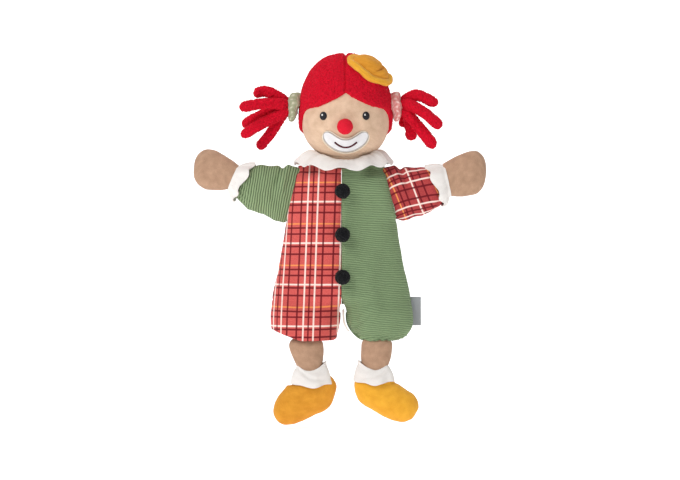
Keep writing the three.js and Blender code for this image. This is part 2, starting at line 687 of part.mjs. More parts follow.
// A shoe is a padded bag. Its stations run from the ankle to the toe: the middle, the direction
// towards the toe, the half width across that direction and the half depth.
const SHOES = {
  right: [
    { at: [-29.2, -67.6], along: [0, -1], half: 10.6, deep: 7.8 },
    { at: [-28.6, -72], along: [0, -1], half: 12.8, deep: 9 },
    { at: [-26.4, -78.2], along: [-0.1, -0.99], half: 18.8, deep: 10.6 },
    { at: [-29, -86.5], along: [-0.42, -0.9], half: 21, deep: 12.2 },
    { at: [-37.4, -93.8], along: [-0.66, -0.75], half: 19.2, deep: 12.8 },
    { at: [-46, -100.6], along: [-0.76, -0.64], half: 16.6, deep: 12.8 },
    { at: [-52.6, -104.6], along: [-0.8, -0.6], half: 13.6, deep: 11.6 },
    { at: [-58.4, -107.6], along: [-0.82, -0.57], half: 9.2, deep: 8.4 },
    { at: [-62.8, -109.6], along: [-0.82, -0.57], half: 4, deep: 3.6 },
  ],
  left: [
    { at: [31.6, -66.6], along: [0, -1], half: 10.6, deep: 7.8 },
    { at: [31.2, -70.4], along: [0.04, -1], half: 12.8, deep: 9 },
    { at: [30.6, -75.8], along: [0.12, -0.99], half: 17.8, deep: 10.6 },
    { at: [33.6, -82], along: [0.36, -0.93], half: 18.8, deep: 12.2 },
    { at: [40.6, -88.6], along: [0.66, -0.75], half: 17.6, deep: 12.8 },
    { at: [49.6, -94.6], along: [0.8, -0.6], half: 16, deep: 12.8 },
    { at: [57, -99.4], along: [0.84, -0.54], half: 14.4, deep: 11.6 },
    { at: [64.2, -101.8], along: [0.84, -0.54], half: 11.4, deep: 8.4 },
    { at: [69.8, -103.6], along: [0.84, -0.54], half: 5.8, deep: 3.6 },
  ],
};

function shoeRing({ at, along, half, deep }, smaller) {
  const across = v(along[1], 0, -along[0]).setLength(half - smaller);
  return ring(v(at[0], LEG_Y, at[1]), across, v(0, deep - smaller, 0), 16);
}

function shoeSkin(stations) {
  const outer = stations.map((s) => shoeRing(s, 0));
  const inner = stations.slice(0, -1).map((s) => shoeRing(s, 1.6));
  return bag(outer, inner);
}

function shoeStuffing(stations) {
  return solidLoft(stations.slice(0, -1).map((s, i, all) => {
    const end = i === all.length - 1 ? 1.4 : 0; // ends short of the toe's inside
    return shoeRing({ ...s, at: [s.at[0] - s.along[0] * end, s.at[1] - s.along[1] * end] }, 1.6 + SEAM_GAP + end);
  }));
}

const LEGS = { right: [-33.6, -30], left: [33.7, 31.8] };

for (const side of ['right', 'left']) {
  add(`${side}_leg_skin`, legSkin(LEGS[side]), 'velour');
  add(`${side}_leg_stuffing`, legStuffing(LEGS[side]), 'filling');
  add(`${side}_ankle_frill`, ankleFrill(FRILLS[side]), 'cotton');
  add(`${side}_shoe`, shoeSkin(SHOES[side]), 'mustard');
  add(`${side}_shoe_stuffing`, shoeStuffing(SHOES[side]), 'filling');
}

export default group;
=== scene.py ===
# %% [markdown]
# # A clown hand puppet, dressed
# The measured puppet comes from CAD: its size, its bodies and its joints are fixed. This notebook gives each
# part its cloth, its stuffing and its finish. Lengths are written in millimetres, which is how a puppet maker
# works, and are turned into metres in one place, where the mesh is made.

# %% Load the measured puppet
import itertools
import math

import bpy
import numpy as np
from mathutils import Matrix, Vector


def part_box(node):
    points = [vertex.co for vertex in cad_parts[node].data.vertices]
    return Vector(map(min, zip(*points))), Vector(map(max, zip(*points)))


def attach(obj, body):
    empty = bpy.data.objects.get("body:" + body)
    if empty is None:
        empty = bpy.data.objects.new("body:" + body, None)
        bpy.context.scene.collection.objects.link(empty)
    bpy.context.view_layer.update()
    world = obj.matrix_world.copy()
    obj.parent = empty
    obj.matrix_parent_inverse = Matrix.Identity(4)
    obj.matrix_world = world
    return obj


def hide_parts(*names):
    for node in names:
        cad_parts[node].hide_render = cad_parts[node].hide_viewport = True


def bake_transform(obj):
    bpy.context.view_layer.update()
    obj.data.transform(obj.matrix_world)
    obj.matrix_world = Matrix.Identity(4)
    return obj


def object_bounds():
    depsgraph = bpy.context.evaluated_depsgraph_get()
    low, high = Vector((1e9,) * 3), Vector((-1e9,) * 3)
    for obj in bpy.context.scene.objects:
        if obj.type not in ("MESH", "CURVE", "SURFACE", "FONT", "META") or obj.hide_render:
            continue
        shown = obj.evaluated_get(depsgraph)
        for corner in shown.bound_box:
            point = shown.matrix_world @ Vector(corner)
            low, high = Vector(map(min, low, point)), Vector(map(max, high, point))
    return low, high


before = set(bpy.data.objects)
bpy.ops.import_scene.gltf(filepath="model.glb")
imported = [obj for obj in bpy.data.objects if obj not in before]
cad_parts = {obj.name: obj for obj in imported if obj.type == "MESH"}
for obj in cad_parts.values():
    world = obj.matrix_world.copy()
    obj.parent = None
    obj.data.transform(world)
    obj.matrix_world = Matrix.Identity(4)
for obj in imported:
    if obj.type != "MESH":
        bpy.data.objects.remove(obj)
cad_low, cad_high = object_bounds()
MM = 0.001  # one millimetre, in Blender's metres


def box_mm(node):
    """The lowest and highest corner of a CAD node, in millimetres."""
    low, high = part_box(node)
    return np.array(low) / MM, np.array(high) / MM


print("puppet size in mm:", [round(x / MM, 1) for x in cad_high - cad_low])

# %% [markdown]
# ## Camera, light and floor
# A shop picture of a toy is taken from far away with a long lens, so that hands and feet don't look big.
# Three large soft lamps and a pale curved backdrop give the gentle shadows. The backdrop is one sheet that
# curves up behind the puppet, because a floor that ends in a corner would show a line.

# %% Camera
middle = (cad_low + cad_high) / 2
camera = bpy.data.objects.new("camera", bpy.data.cameras.new("camera"))
bpy.context.collection.objects.link(camera)
camera.data.sensor_width = 36
camera.data.lens = 100
camera.location = (middle.x + 0.0002, -1.815, middle.z - 0.0005)
camera.rotation_euler = (math.radians(90), 0, 0)
camera.data.dof.use_dof = False
bpy.context.scene.camera = camera

# %% Lamps
LAMPS = {  # place and aim in metres, size in metres, power in watts
    "key": ((-1.2, -1.4, 1.3), (0, 0, 0.05), 1.2, 25),
    "fill": ((1.5, -1.5, 0.4), (0, 0, 0.05), 1.6, 5),
    "top": ((0.0, 0.1, 1.9), (0, 0, 0.05), 1.3, 10),
}
for name, (place, aim, size, power) in LAMPS.items():
    lamp = bpy.data.objects.new(name, bpy.data.lights.new(name, "AREA"))
    bpy.context.collection.objects.link(lamp)
    lamp.data.size = size
    lamp.data.energy = power
    lamp.location = place
    toward = Vector(aim) - Vector(place)
    lamp.rotation_euler = toward.to_track_quat("-Z", "Y").to_euler()
world = bpy.data.worlds.new("studio")
bpy.context.scene.world = world
world.use_nodes = True
world.node_tree.nodes["Background"].inputs["Color"].default_value = (1, 1, 1, 1)
world.node_tree.nodes["Background"].inputs["Strength"].default_value = 0.3
bpy.context.scene.view_settings.view_transform = "Standard"
print("lamps:", ", ".join(LAMPS))

# %% [markdown]
# ## From a grid of points to a piece of cloth
# Almost every piece here is a grid: rows run down the cloth and columns run across it. A grid is easy to
# bend, wrinkle and pinch with arithmetic, and it keeps a flat map of the cloth (its UV map) so that a stripe
# or a rib stays on its threads when an arm lifts. Sculpting by hand would look as good, but it could not be
# run again from numbers.


# %% Curves, noise and easing
def smooth(x, low, high):
    """0 below low, 1 above high, and an even rise between them."""
    t = np.clip((np.asarray(x, float) - low) / (high - low), 0, 1)
    return t * t * (3 - 2 * t)


def through(places, values, at):
    """A smooth curve through the values, read at `at`. Values may be numbers or points."""
    places, values = np.asarray(places, float), np.asarray(values, float)
    slopes = np.gradient(values, places, axis=0)
    at = np.clip(at, places[0], places[-1])
    i = np.clip(np.searchsorted(places, at, side="right") - 1, 0, len(places) - 2)
    gap = places[i + 1] - places[i]
    t = (at - places[i]) / gap
    if values.ndim > 1:
        t, gap = t[..., None], gap[..., None]
    a, b, c, d = 2 * t**3 - 3 * t**2 + 1, t**3 - 2 * t**2 + t, -2 * t**3 + 3 * t**2, t**3 - t**2
    return a * values[i] + b * gap * slopes[i] + c * values[i + 1] + d * gap * slopes[i + 1]


ARROWS = np.random.default_rng(5).normal(size=(256, 3))
ARROWS /= np.linalg.norm(ARROWS, axis=1)[:, None]


def noise(points, size, seed=0):
    """Smooth bumps between about -1 and 1, `size` millimetres across. size may differ along x, y and z."""
    place = np.asarray(points, float) / np.asarray(size, float)
    cell = np.floor(place).astype(np.int64)
    inside = place - cell
    ease = inside**3 * (inside * (inside * 6 - 15) + 10)
    total = 0.0
    for corner in itertools.product((0, 1), repeat=3):
        mixed = (cell + corner) @ np.array([73856093, 19349663, 83492791]) + seed * 2654435
        mixed = (mixed ^ (mixed >> 13)) * 1274126177 & 0xFFFFFFFF
        arrow = ARROWS[(mixed ^ (mixed >> 16)) & 255]
        share = np.prod(np.where(corner, ease, 1 - ease), axis=-1)
        total = total + share * ((inside - corner) * arrow).sum(-1)
    return total * 1.7


# %% Meshes from grids
def normals_of(grid, around=False):
    """Directions square to the cloth at each grid point, pointing away from the grid's middle."""
    down = np.gradient(grid, axis=0)
    if around:
        across = np.roll(grid, -1, 1) - np.roll(grid, 1, 1)
    else:
        across = np.gradient(grid, axis=1)
    normal = np.cross(across, down)
    normal /= np.maximum(np.linalg.norm(normal, axis=-1, keepdims=True), 1e-9)
    outward = (normal * (grid - grid.mean((0, 1)))).sum()
    return normal if outward > 0 else -normal


def pushed(grid, distance, around=False):
    """The grid moved along its normals by distance, in millimetres."""
    return grid + normals_of(grid, around) * np.asarray(distance)[..., None]


def cloth_map(grid, around=False):
    """How far each point lies along the cloth: across its row, and down its mean column."""
    closed = np.concatenate([grid, grid[:, :1]], 1) if around else grid
    across = np.cumsum(np.linalg.norm(np.diff(closed, axis=1), axis=-1), axis=1)
    across = np.concatenate([np.zeros((len(grid), 1)), across], 1)
    steps = np.linalg.norm(np.diff(grid, axis=0), axis=-1).mean(1)
    down = np.concatenate([[0], -np.cumsum(steps)])
    return np.stack([across, np.broadcast_to(down[:, None], across.shape)], -1)


def from_grid(name, grid, material, around=False, cloth=None, ends=(False, False)):
    """A mesh object from a grid in millimetres. around joins the last column to the first. ends closes the
    first or last row with one point at its middle."""
    rows, cols = grid.shape[:2]
    cloth = cloth_map(grid, around) if cloth is None else cloth
    r, c = np.meshgrid(np.arange(rows - 1), np.arange(cols if around else cols - 1), indexing="ij")
    corners = [(r, c), (r, c + 1), (r + 1, c + 1), (r + 1, c)]
    quads = np.stack([row * cols + col % cols for row, col in corners], -1).reshape(-1, 4)
    maps = np.stack([cloth[row, col] for row, col in corners], -2).reshape(-1, 4, 2)
    points = grid.reshape(-1, 3)
    a, b, c4, d = points[quads].transpose(1, 0, 2)
    facing = (np.cross(c4 - a, d - b) * ((a + c4) / 2 - points.mean(0))).sum()
    if facing < 0:
        quads, maps = quads[:, ::-1], maps[:, ::-1]
    faces, flat = quads.tolist(), maps.reshape(-1, 2)
    for end, row in zip(ends, (0, rows - 1)):
        if end:
            points = np.concatenate([points, grid[row].mean(0)[None]])
            hub, loop = len(points) - 1, row * cols + np.arange(cols)
            pair = np.stack([loop, np.roll(loop, -1)], 1)
            if (row == 0) == (facing > 0):
                pair = pair[:, ::-1]
            faces += [[i, j, hub] for i, j in pair.tolist()]
            flat = np.concatenate([flat, np.tile(cloth[row, 0], (3 * len(pair), 1))])
    mesh = bpy.data.meshes.new(name)
    mesh.from_pydata((points * MM).tolist(), [], faces)
    mesh.uv_layers.new(name="cloth").data.foreach_set("uv", (flat * MM).astype(np.float32).ravel())
    mesh.polygons.foreach_set("use_smooth", [True] * len(mesh.polygons))
    mesh.materials.append(material)
    made = bpy.data.objects.new(name, mesh)
    bpy.context.collection.objects.link(made)
    return made


def bake_modifiers(piece):
    """Turns the modifiers of a piece into plain mesh."""
    shaped = piece.evaluated_get(bpy.context.evaluated_depsgraph_get())
    mesh = bpy.data.meshes.new_from_object(shaped)
    piece.modifiers.clear()
    piece.data = mesh
    return piece


def thicken(piece, thickness):
    """Gives a sheet its thickness, to the inside, with a rim along its edges."""
    solid = piece.modifiers.new("thickness", "SOLIDIFY")
    solid.thickness = thickness * MM
    solid.offset = -1
    solid.use_even_offset = False
    return bake_modifiers(piece)


def dress(piece, slot, *nodes):
    """The piece takes the place of these CAD nodes, which it hides. slot, the name of its finish, is not
    used.
    """
    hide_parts(*nodes)
    print(f"{piece.name}: {len(piece.data.vertices)} points")
    return piece


# %% [markdown]
# ## Finishes
# Cloth is mostly small structure: threads, ribs, loops and pile. Each of these is a shader node group that
# puts out a height and a shade, so that several materials share it with their own sizes. For ribs and loops
# the shade is painted shade, darker in the grooves and gaps and lighter on the tops. The groups read the
# cloth map in millimetres. A picture of cloth would be quicker, but it would blur close up and repeat.


# %% Node helpers
def colour(red, green, blue):
    """A screen colour, 0 to 255, as the linear colour that a shader takes."""
    share = np.array([red, green, blue]) / 255
    linear = np.where(share <= 0.04045, share / 12.92, ((share + 0.055) / 1.055) ** 2.4)
    return (*linear.tolist(), 1.0)


def add(tree, kind, inputs=None, **settings):
    """A new node. inputs maps a socket's name or number to a value, or to the output that feeds it."""
    made = tree.nodes.new(kind)
    for name, value in settings.items():
        setattr(made, name, value)
    for socket, value in (inputs or {}).items():
        if isinstance(value, bpy.types.NodeSocket):
            tree.links.new(value, made.inputs[socket])
        else:
            made.inputs[socket].default_value = value
    return made


def sums(tree, operation, *values):
    """One arithmetic step on numbers or outputs."""
    return add(tree, "ShaderNodeMath", dict(enumerate(values)), operation=operation).outputs[0]


def blend_colours(tree, share, first, second):
    """first where share is 0, second where it is 1."""
    mix = add(tree, "ShaderNodeMix", {"Factor": share}, data_type="RGBA")
    for socket, value in ((mix.inputs[6], first), (mix.inputs[7], second)):
        if isinstance(value, bpy.types.NodeSocket):
            tree.links.new(value, socket)
        else:
            socket.default_value = value
    return mix.outputs[2]


def new_group(name, inputs, outputs):
    """An empty node group with the named number or vector sockets."""
    tree = bpy.data.node_groups.new(name, "ShaderNodeTree")
    for direction, sockets in (("INPUT", inputs), ("OUTPUT", outputs)):
        for socket, value in sockets.items():
            kind = "NodeSocketVector" if value is None else "NodeSocketFloat"
            made = tree.interface.new_socket(socket, in_out=direction, socket_type=kind)
            if value is not None and direction == "INPUT":
                made.default_value = value
    return tree, tree.nodes.new("NodeGroupInput").outputs, tree.nodes.new("NodeGroupOutput").inputs


# %% Threads: a plain weave
weave, given, result = new_group("weave", {"Cloth": None, "Thread": 0.5}, {"Height": 0.0, "Shade": 0.0})
split = add(weave, "ShaderNodeSeparateXYZ", {0: given["Cloth"]}).outputs
turns = sums(weave, "DIVIDE", math.pi, given["Thread"])
over = sums(weave, "SINE", sums(weave, "MULTIPLY", split[0], turns))
under = sums(weave, "SINE", sums(weave, "MULTIPLY", split[1], turns))
crossing = sums(weave, "MULTIPLY", over, under)
slubs = add(weave, "ShaderNodeTexNoise", {"Vector": given["Cloth"], "Scale": 0.9, "Detail": 3.0}).outputs[0]
weave.links.new(sums(weave, "ADD", sums(weave, "MULTIPLY", crossing, 0.5), slubs), result["Height"])
weave.links.new(sums(weave, "ADD", sums(weave, "MULTIPLY", crossing, 0.12), slubs), result["Shade"])

# %% Ribs: soft ridges side by side, with painted shade in the grooves
ribs, given, result = new_group("ribs", {"Cloth": None, "Spacing": 2.1}, {"Height": 0.0, "Shade": 0.0})
wander = add(ribs, "ShaderNodeTexNoise", {"Vector": given["Cloth"], "Scale": 0.11, "Detail": 1.0}).outputs[0]
split = add(ribs, "ShaderNodeSeparateXYZ", {0: given["Cloth"]}).outputs
place = sums(ribs, "ADD", split[1], sums(ribs, "MULTIPLY", wander, 1.3))
ridge = sums(ribs, "ABSOLUTE", sums(ribs, "SINE", sums(ribs, "DIVIDE", sums(ribs, "MULTIPLY", place, math.pi),
                                                       given["Spacing"])))
tufts = add(ribs, "ShaderNodeTexNoise", {"Vector": given["Cloth"], "Scale": 1.3, "Detail": 3.0}).outputs[0]
ribs.links.new(sums(ribs, "ADD", sums(ribs, "POWER", ridge, 0.7), sums(ribs, "MULTIPLY", tufts, 0.5)),
               result["Height"])
# The shade is lighter on the ridges and darker in the grooves: painted light and painted shade.
ribs.links.new(sums(ribs, "ADD", sums(ribs, "MULTIPLY", sums(ribs, "POWER", ridge, 0.6), 0.7),
                    sums(ribs, "MULTIPLY", tufts, 0.45)), result["Shade"])

# %% Pile: short fibres that lie in brushed patches
pile, given, result = new_group("pile", {"Cloth": None, "Fibre": 0.5, "Patch": 9.0},
                                {"Height": 0.0, "Shade": 0.0})
fibre_scale = sums(pile, "DIVIDE", 1.0, given["Fibre"])
fibres = add(pile, "ShaderNodeTexNoise",
             {"Vector": given["Cloth"], "Scale": fibre_scale, "Detail": 2.0}).outputs[0]
patch_scale = sums(pile, "DIVIDE", 1.0, given["Patch"])
patches = add(pile, "ShaderNodeTexNoise",
              {"Vector": given["Cloth"], "Scale": patch_scale, "Detail": 3.0}).outputs[0]
pile.links.new(sums(pile, "ADD", fibres, sums(pile, "MULTIPLY", patches, 0.6)), result["Height"])
pile.links.new(sums(pile, "ADD", sums(pile, "MULTIPLY", fibres, 0.45), sums(pile, "MULTIPLY", patches, 0.55)),
               result["Shade"])

# %% Loops: terry cloth, small round curls with painted shade in the gaps
loops, given, result = new_group("loops", {"Cloth": None, "Loop": 1.6}, {"Height": 0.0, "Shade": 0.0})
loop_scale = sums(loops, "DIVIDE", 1.0, given["Loop"])
curls = add(loops, "ShaderNodeTexVoronoi", {"Vector": given["Cloth"], "Scale": loop_scale},
            feature="SMOOTH_F1").outputs["Distance"]
fuzz = add(loops, "ShaderNodeTexNoise", {"Vector": given["Cloth"], "Scale": 1.6, "Detail": 3.0}).outputs[0]
loops.links.new(sums(loops, "SUBTRACT", fuzz, curls), result["Height"])
# The shade is darker in the gaps between the curls: painted shade.
loops.links.new(sums(loops, "SUBTRACT", sums(loops, "ADD", 0.75, sums(loops, "MULTIPLY", fuzz, 0.5)), curls),
                result["Shade"])

# %% Line: where a coloured thread runs
line, given, result = new_group("line", {"Along": 0.0, "Place": 0.0, "Width": 1.2}, {"Mask": 0.0})
away = sums(line, "ABSOLUTE", sums(line, "SUBTRACT", given["Along"], given["Place"]))
half = sums(line, "MULTIPLY", given["Width"], 0.5)
fade = sums(line, "DIVIDE", sums(line, "SUBTRACT", away, half), 0.35)
faded = add(line, "ShaderNodeClamp", {0: fade}).outputs[0]
line.links.new(sums(line, "SUBTRACT", 1.0, faded), result["Mask"])
print("node groups:", ", ".join(sorted(group.name for group in bpy.data.node_groups)))


# %% [markdown]
# A material here is always the same three steps: find the place on the cloth in millimetres, let a group give
# the height and shade there, and colour the Principled shader with them. Sheen, the pale glow of short fibres
# seen from the side, is one number on the shader.


# %% A cloth material from a structure and two colours
def start_material(name, roughness, sheen):
    """An empty material with its shader, and the place on the cloth in millimetres."""
    material = bpy.data.materials.new(name)
    material.use_nodes = True
    tree = material.node_tree
    shader = tree.nodes["Principled BSDF"]
    shader.inputs["Roughness"].default_value = roughness
    shader.inputs["Sheen Weight"].default_value = sheen
    shader.inputs["Sheen Roughness"].default_value = 0.5
    shader.inputs["Specular IOR Level"].default_value = 0.25
    place = add(tree, "ShaderNodeTexCoord").outputs["UV"]
    scaled = add(tree, "ShaderNodeVectorMath", {0: place, 1: (1 / MM, 1 / MM, 1 / MM)}, operation="MULTIPLY")
    return material, tree, shader, scaled.outputs[0]


def place_group(tree, group, **inputs):
    """Puts a node group into a material. Underscores in an input's name stand for spaces."""
    made = tree.nodes.new("ShaderNodeGroup")
    made.node_tree = group
    for name, value in inputs.items():
        if isinstance(value, bpy.types.NodeSocket):
            tree.links.new(value, made.inputs[name])
        else:
            made.inputs[name].default_value = value
    return made.outputs


def raise_surface(tree, shader, height, distance):
    """Feeds a height through a bump to the shader."""
    bump = add(tree, "ShaderNodeBump", {"Strength": 1.0, "Distance": distance * MM, "Height": height})
    tree.links.new(bump.outputs[0], shader.inputs["Normal"])


def cloth_material(name, structure, low, high, depth, roughness=0.92, sheen=0.2, turn=0.0,
                   stretch=(0.25, 0.85), **sizes):
    """low and high are the colours in the gaps and on the tops; with ribs and loops the darker gap colour is
    painted shade. depth is the height of the structure. stretch is the range of shade that runs from one
    colour to the other. turn lays the structure at an angle."""
    material, tree, shader, place = start_material(name, roughness, sheen)
    if turn:
        turned = add(tree, "ShaderNodeVectorRotate", {"Vector": place, "Angle": math.radians(turn)},
                     rotation_type="Z_AXIS")
        place = turned.outputs[0]
    outputs = place_group(tree, structure, Cloth=place, **sizes)
    share = add(tree, "ShaderNodeMapRange", {0: outputs["Shade"], 1: stretch[0], 2: stretch[1]}).outputs[0]
    tree.links.new(blend_colours(tree, share, low, high), shader.inputs["Base Color"])
    raise_surface(tree, shader, outputs["Height"], depth)
    return material


# %% Plain finishes
SKIN = cloth_material("skin velour", pile, colour(192, 158, 130), colour(242, 212, 184), 0.3, sheen=0.12,
                      Fibre=0.6, Patch=8.0)
# A darker copy of the skin velour for the mitts and legs: painted shade.
SKIN_PAINTED_SHADE = cloth_material("skin velour, painted shade", pile, colour(152, 118, 94),
                            colour(204, 166, 138), 0.3, sheen=0.12, Fibre=0.6, Patch=7.0)
MUSTARD = cloth_material("mustard velour", pile, colour(214, 146, 34), colour(250, 190, 62), 0.3, sheen=0.12,
                         Fibre=0.6, Patch=8.0)
# A darker copy of the mustard velour for the hat crown and the right shoe: painted shade.
MUSTARD_PAINTED_SHADE = cloth_material("mustard velour, painted shade", pile, colour(198, 128, 30),
                               colour(238, 170, 60), 0.3, sheen=0.08, Fibre=0.6, Patch=7.0)
TERRY = cloth_material("red terry", loops, colour(152, 0, 18), colour(222, 0, 40), 0.7, sheen=0.0,
                       stretch=(-0.2, 0.75), Loop=1.2)
WHITE = cloth_material("white jersey", ribs, colour(217, 210, 205), colour(241, 237, 233), 0.12, sheen=0.0,
                       stretch=(0.2, 0.9), Spacing=0.8)
NOSE = cloth_material("nose jersey", weave, colour(196, 0, 30), colour(232, 8, 48), 0.08, roughness=0.7,
                      sheen=0.0, stretch=(0.2, 0.8), Thread=0.6)
POMPOM = cloth_material("black wool", loops, colour(1, 1, 2), colour(16, 16, 22), 0.8, sheen=0.06, Loop=0.9)
FELT = cloth_material("white felt", pile, colour(212, 210, 211), colour(238, 237, 238), 0.12, sheen=0.05,
                      Fibre=0.6, Patch=5.0)
LINING = cloth_material("lining cotton", weave, colour(228, 222, 210), colour(246, 242, 234), 0.06,
                        Thread=0.5)
TAPE = cloth_material("cotton tape", ribs, colour(216, 210, 196), colour(238, 234, 224), 0.1, Spacing=1.0)
FINGER_TUBE = cloth_material("finger tube jersey", ribs, colour(190, 150, 120), colour(216, 180, 150), 0.1,
                             Spacing=0.9)
BLACK_THREAD = cloth_material("black embroidery", ribs, colour(4, 4, 6), colour(34, 34, 40), 0.12,
                              roughness=0.45, sheen=0.0, turn=64.0, Spacing=0.55)
# White thread for the eye glints: painted highlight.
HIGHLIGHT_THREAD = cloth_material("white stitches, painted highlight", ribs, colour(214, 210, 206), colour(250, 250, 248), 0.12,
                              roughness=0.5, sheen=0.0, turn=64.0, Spacing=0.5)
BURGUNDY_THREAD = cloth_material("burgundy embroidery", ribs, colour(44, 6, 16), colour(84, 18, 34), 0.12,
                                 roughness=0.5, sheen=0.0, turn=90.0, Spacing=0.7)
CREAM_THREAD = cloth_material("cream edging stitch", ribs, colour(206, 186, 160), colour(240, 228, 210), 0.15,
                              roughness=0.6, sheen=0.0, turn=90.0, Spacing=0.8)
# Grey thread for the line inside the mouth edging: painted groove shade.
GROOVE_SHADE_THREAD = cloth_material("grey line, painted groove shade", ribs, colour(150, 140, 136), colour(186, 178, 174), 0.12,
                             roughness=0.6, sheen=0.0, turn=90.0, Spacing=0.8)
LABEL = cloth_material("label satin", ribs, colour(128, 131, 134), colour(158, 161, 164), 0.05, roughness=0.5,
                       sheen=0.1, Spacing=0.6)
GREEN = cloth_material("green rib", ribs, colour(84, 106, 72), colour(136, 158, 118), 0.5, sheen=0.05,
                       stretch=(0.2, 1.0), Spacing=2.1)
# The sleeve's rib has a darker gap colour than the body's green: deeper painted shade in its grooves.
GREEN_SLEEVE = cloth_material("green rib, sleeve, deeper painted groove shade", ribs, colour(52, 70, 40), colour(150, 172, 128),
                              1.0, sheen=0.05, stretch=(0.25, 0.95), Spacing=2.4)
print("plain finishes made")

# %% [markdown]
# The red cotton is a plaid: coloured threads at set places across and down the cloth, mirrored about a dark
# thread one way and simply repeated the other way. Each thread is one use of the line group. The sleeve is
# cut on the turn, so it has its own angle and shift, and its colours are painted darker as shade.

# %% The plaid
PLAID_ACROSS = 33.3  # the pattern repeats after this many millimetres, mirrored about its middle thread
PLAID_DOWN = 39.4
THREAD_COVER = 0.92  # how much of the ground a coloured thread hides
DARK, PALE, ORANGE = colour(104, 6, 22), colour(250, 226, 216), colour(240, 150, 82)
CROSS_THREADS = [(0.0, 1.1, DARK), (11.6, 1.4, DARK), (5.0, 1.2, PALE)]  # place and width in mm, colour
DOWN_THREADS = [(26.1, 1.0, ORANGE), (8.1, 1.3, DARK), (15.4, 1.3, DARK), (30.0, 1.2, DARK),
                (35.7, 1.2, DARK), (5.0, 1.2, PALE)]


def plaid(name, turn, shift, low, high):
    """The plaid cotton. turn is in degrees, shift moves the pattern on the cloth in millimetres."""
    material, tree, shader, place = start_material(name, 0.88, 0.1)
    turned = add(tree, "ShaderNodeVectorRotate", {"Vector": place, "Angle": math.radians(turn)},
                 rotation_type="Z_AXIS").outputs[0]
    split = add(tree, "ShaderNodeSeparateXYZ", {0: turned}).outputs
    across = sums(tree, "PINGPONG", sums(tree, "ADD", split[0], shift[0]), PLAID_ACROSS / 2)
    down = sums(tree, "FLOORED_MODULO", sums(tree, "SUBTRACT", shift[1], split[1]), PLAID_DOWN)
    cloth = place_group(tree, weave, Cloth=place, Thread=0.55)
    shade = add(tree, "ShaderNodeMapRange", {0: cloth["Shade"], 1: 0.2, 2: 0.8}).outputs[0]
    painted = blend_colours(tree, shade, low, high)
    for along, threads in ((down, DOWN_THREADS), (across, CROSS_THREADS)):
        for where, width, thread in threads:
            mask = place_group(tree, line, Along=along, Place=where, Width=width)["Mask"]
            cover = sums(tree, "MULTIPLY", mask, THREAD_COVER)
            painted = blend_colours(tree, cover, painted, thread)
    tree.links.new(painted, shader.inputs["Base Color"])
    raise_surface(tree, shader, cloth["Height"], 0.12)
    return material


PLAID = plaid("plaid cotton", 0.0, (32.2, 103.8), colour(190, 70, 68), colour(220, 100, 93))
# The sleeve's ground colours are darker than the body's: painted shade.
SHADED_PLAID_SLEEVE = plaid("plaid cotton, cut on the turn, painted shade", 12.0, (12.8, 24.1), colour(152, 46, 50),
                     colour(190, 74, 72))
print("threads in one repeat of the plaid:", len(CROSS_THREADS) + len(DOWN_THREADS))

# %% [markdown]
# The two hair ties are printed cotton: a small check in one colour on cream. A check is two sets of lines, so
# the line group serves again.

# %% Printed checks
def check(name, print_colour, ground, repeat, width):
    """Cotton with a check of bands `width` wide every `repeat` millimetres."""
    material, tree, shader, place = start_material(name, 0.85, 0.1)
    split = add(tree, "ShaderNodeSeparateXYZ", {0: place}).outputs
    painted = ground
    for axis in (0, 1):
        along = sums(tree, "PINGPONG", split[axis], repeat / 2)
        mask = place_group(tree, line, Along=along, Place=0.0, Width=width)["Mask"]
        painted = blend_colours(tree, sums(tree, "MULTIPLY", mask, 0.7), painted, print_colour)
    tree.links.new(painted, shader.inputs["Base Color"])
    cloth = place_group(tree, weave, Cloth=place, Thread=0.5)
    raise_surface(tree, shader, cloth["Height"], 0.1)
    return material


SAGE_CHECK = check("sage check", colour(148, 154, 122), colour(196, 194, 170), 5.0, 2.6)
PINK_CHECK = check("pink check", colour(212, 122, 118), colour(236, 200, 192), 5.0, 2.4)
print("materials:", len(bpy.data.materials))


# %% [markdown]
# ## The glove body
# The body is a front and a back, each sewn from a red half and a green half, with a seam down the middle.
# Below the hand opening the front goes on as two flat trouser ends. One formula gives the outline at each
# height: an oval cut off at the armholes, which turns into two small ovals below the opening. Separate panels
# let the seams be real valleys, where a painted line would stay flat.

# %% Outline of the body at each height
BODY = np.array([  # height, half width at the side, half depth
    (-33.5, 67.0, 29.0), (-24.0, 67.4, 29.5), (-10.5, 68.0, 29.5), (0.0, 67.4, 29.0), (14.0, 65.5, 28.0),
    (34.0, 61.0, 26.5), (59.0, 56.4, 24.0), (77.0, 53.8, 22.5), (90.0, 51.8, 21.5), (105.0, 48.0, 20.5),
    (118.0, 44.6, 19.5), (127.0, 42.6, 18.8), (134.0, 41.5, 18.4),
])
SHOULDER = BODY[-1, 0]
ARMPIT = 77.0
ARMHOLE_HALF_DEPTH = 11.0
LEG_MIDDLE_Y = (box_mm("right_leg_skin")[0][1] + box_mm("right_leg_skin")[1][1]) / 2


def body_outline(share, z):
    """x and y on the right front of the body, from the side (share 0) to the middle (share 1)."""
    side, depth = through(BODY[:, 0], BODY[:, 1], z), through(BODY[:, 0], BODY[:, 2], z)
    start = np.arcsin(ARMHOLE_HALF_DEPTH / depth) * smooth(z, ARMPIT, ARMPIT + 10)
    angle = start + share * (math.pi / 2 - start)
    x = -side / np.cos(start) * np.cos(angle)
    shoulder = smooth(z, 120, SHOULDER) * smooth(-x, 16, 28)
    return x, -depth * np.sin(angle) * (1 - 0.86 * shoulder)


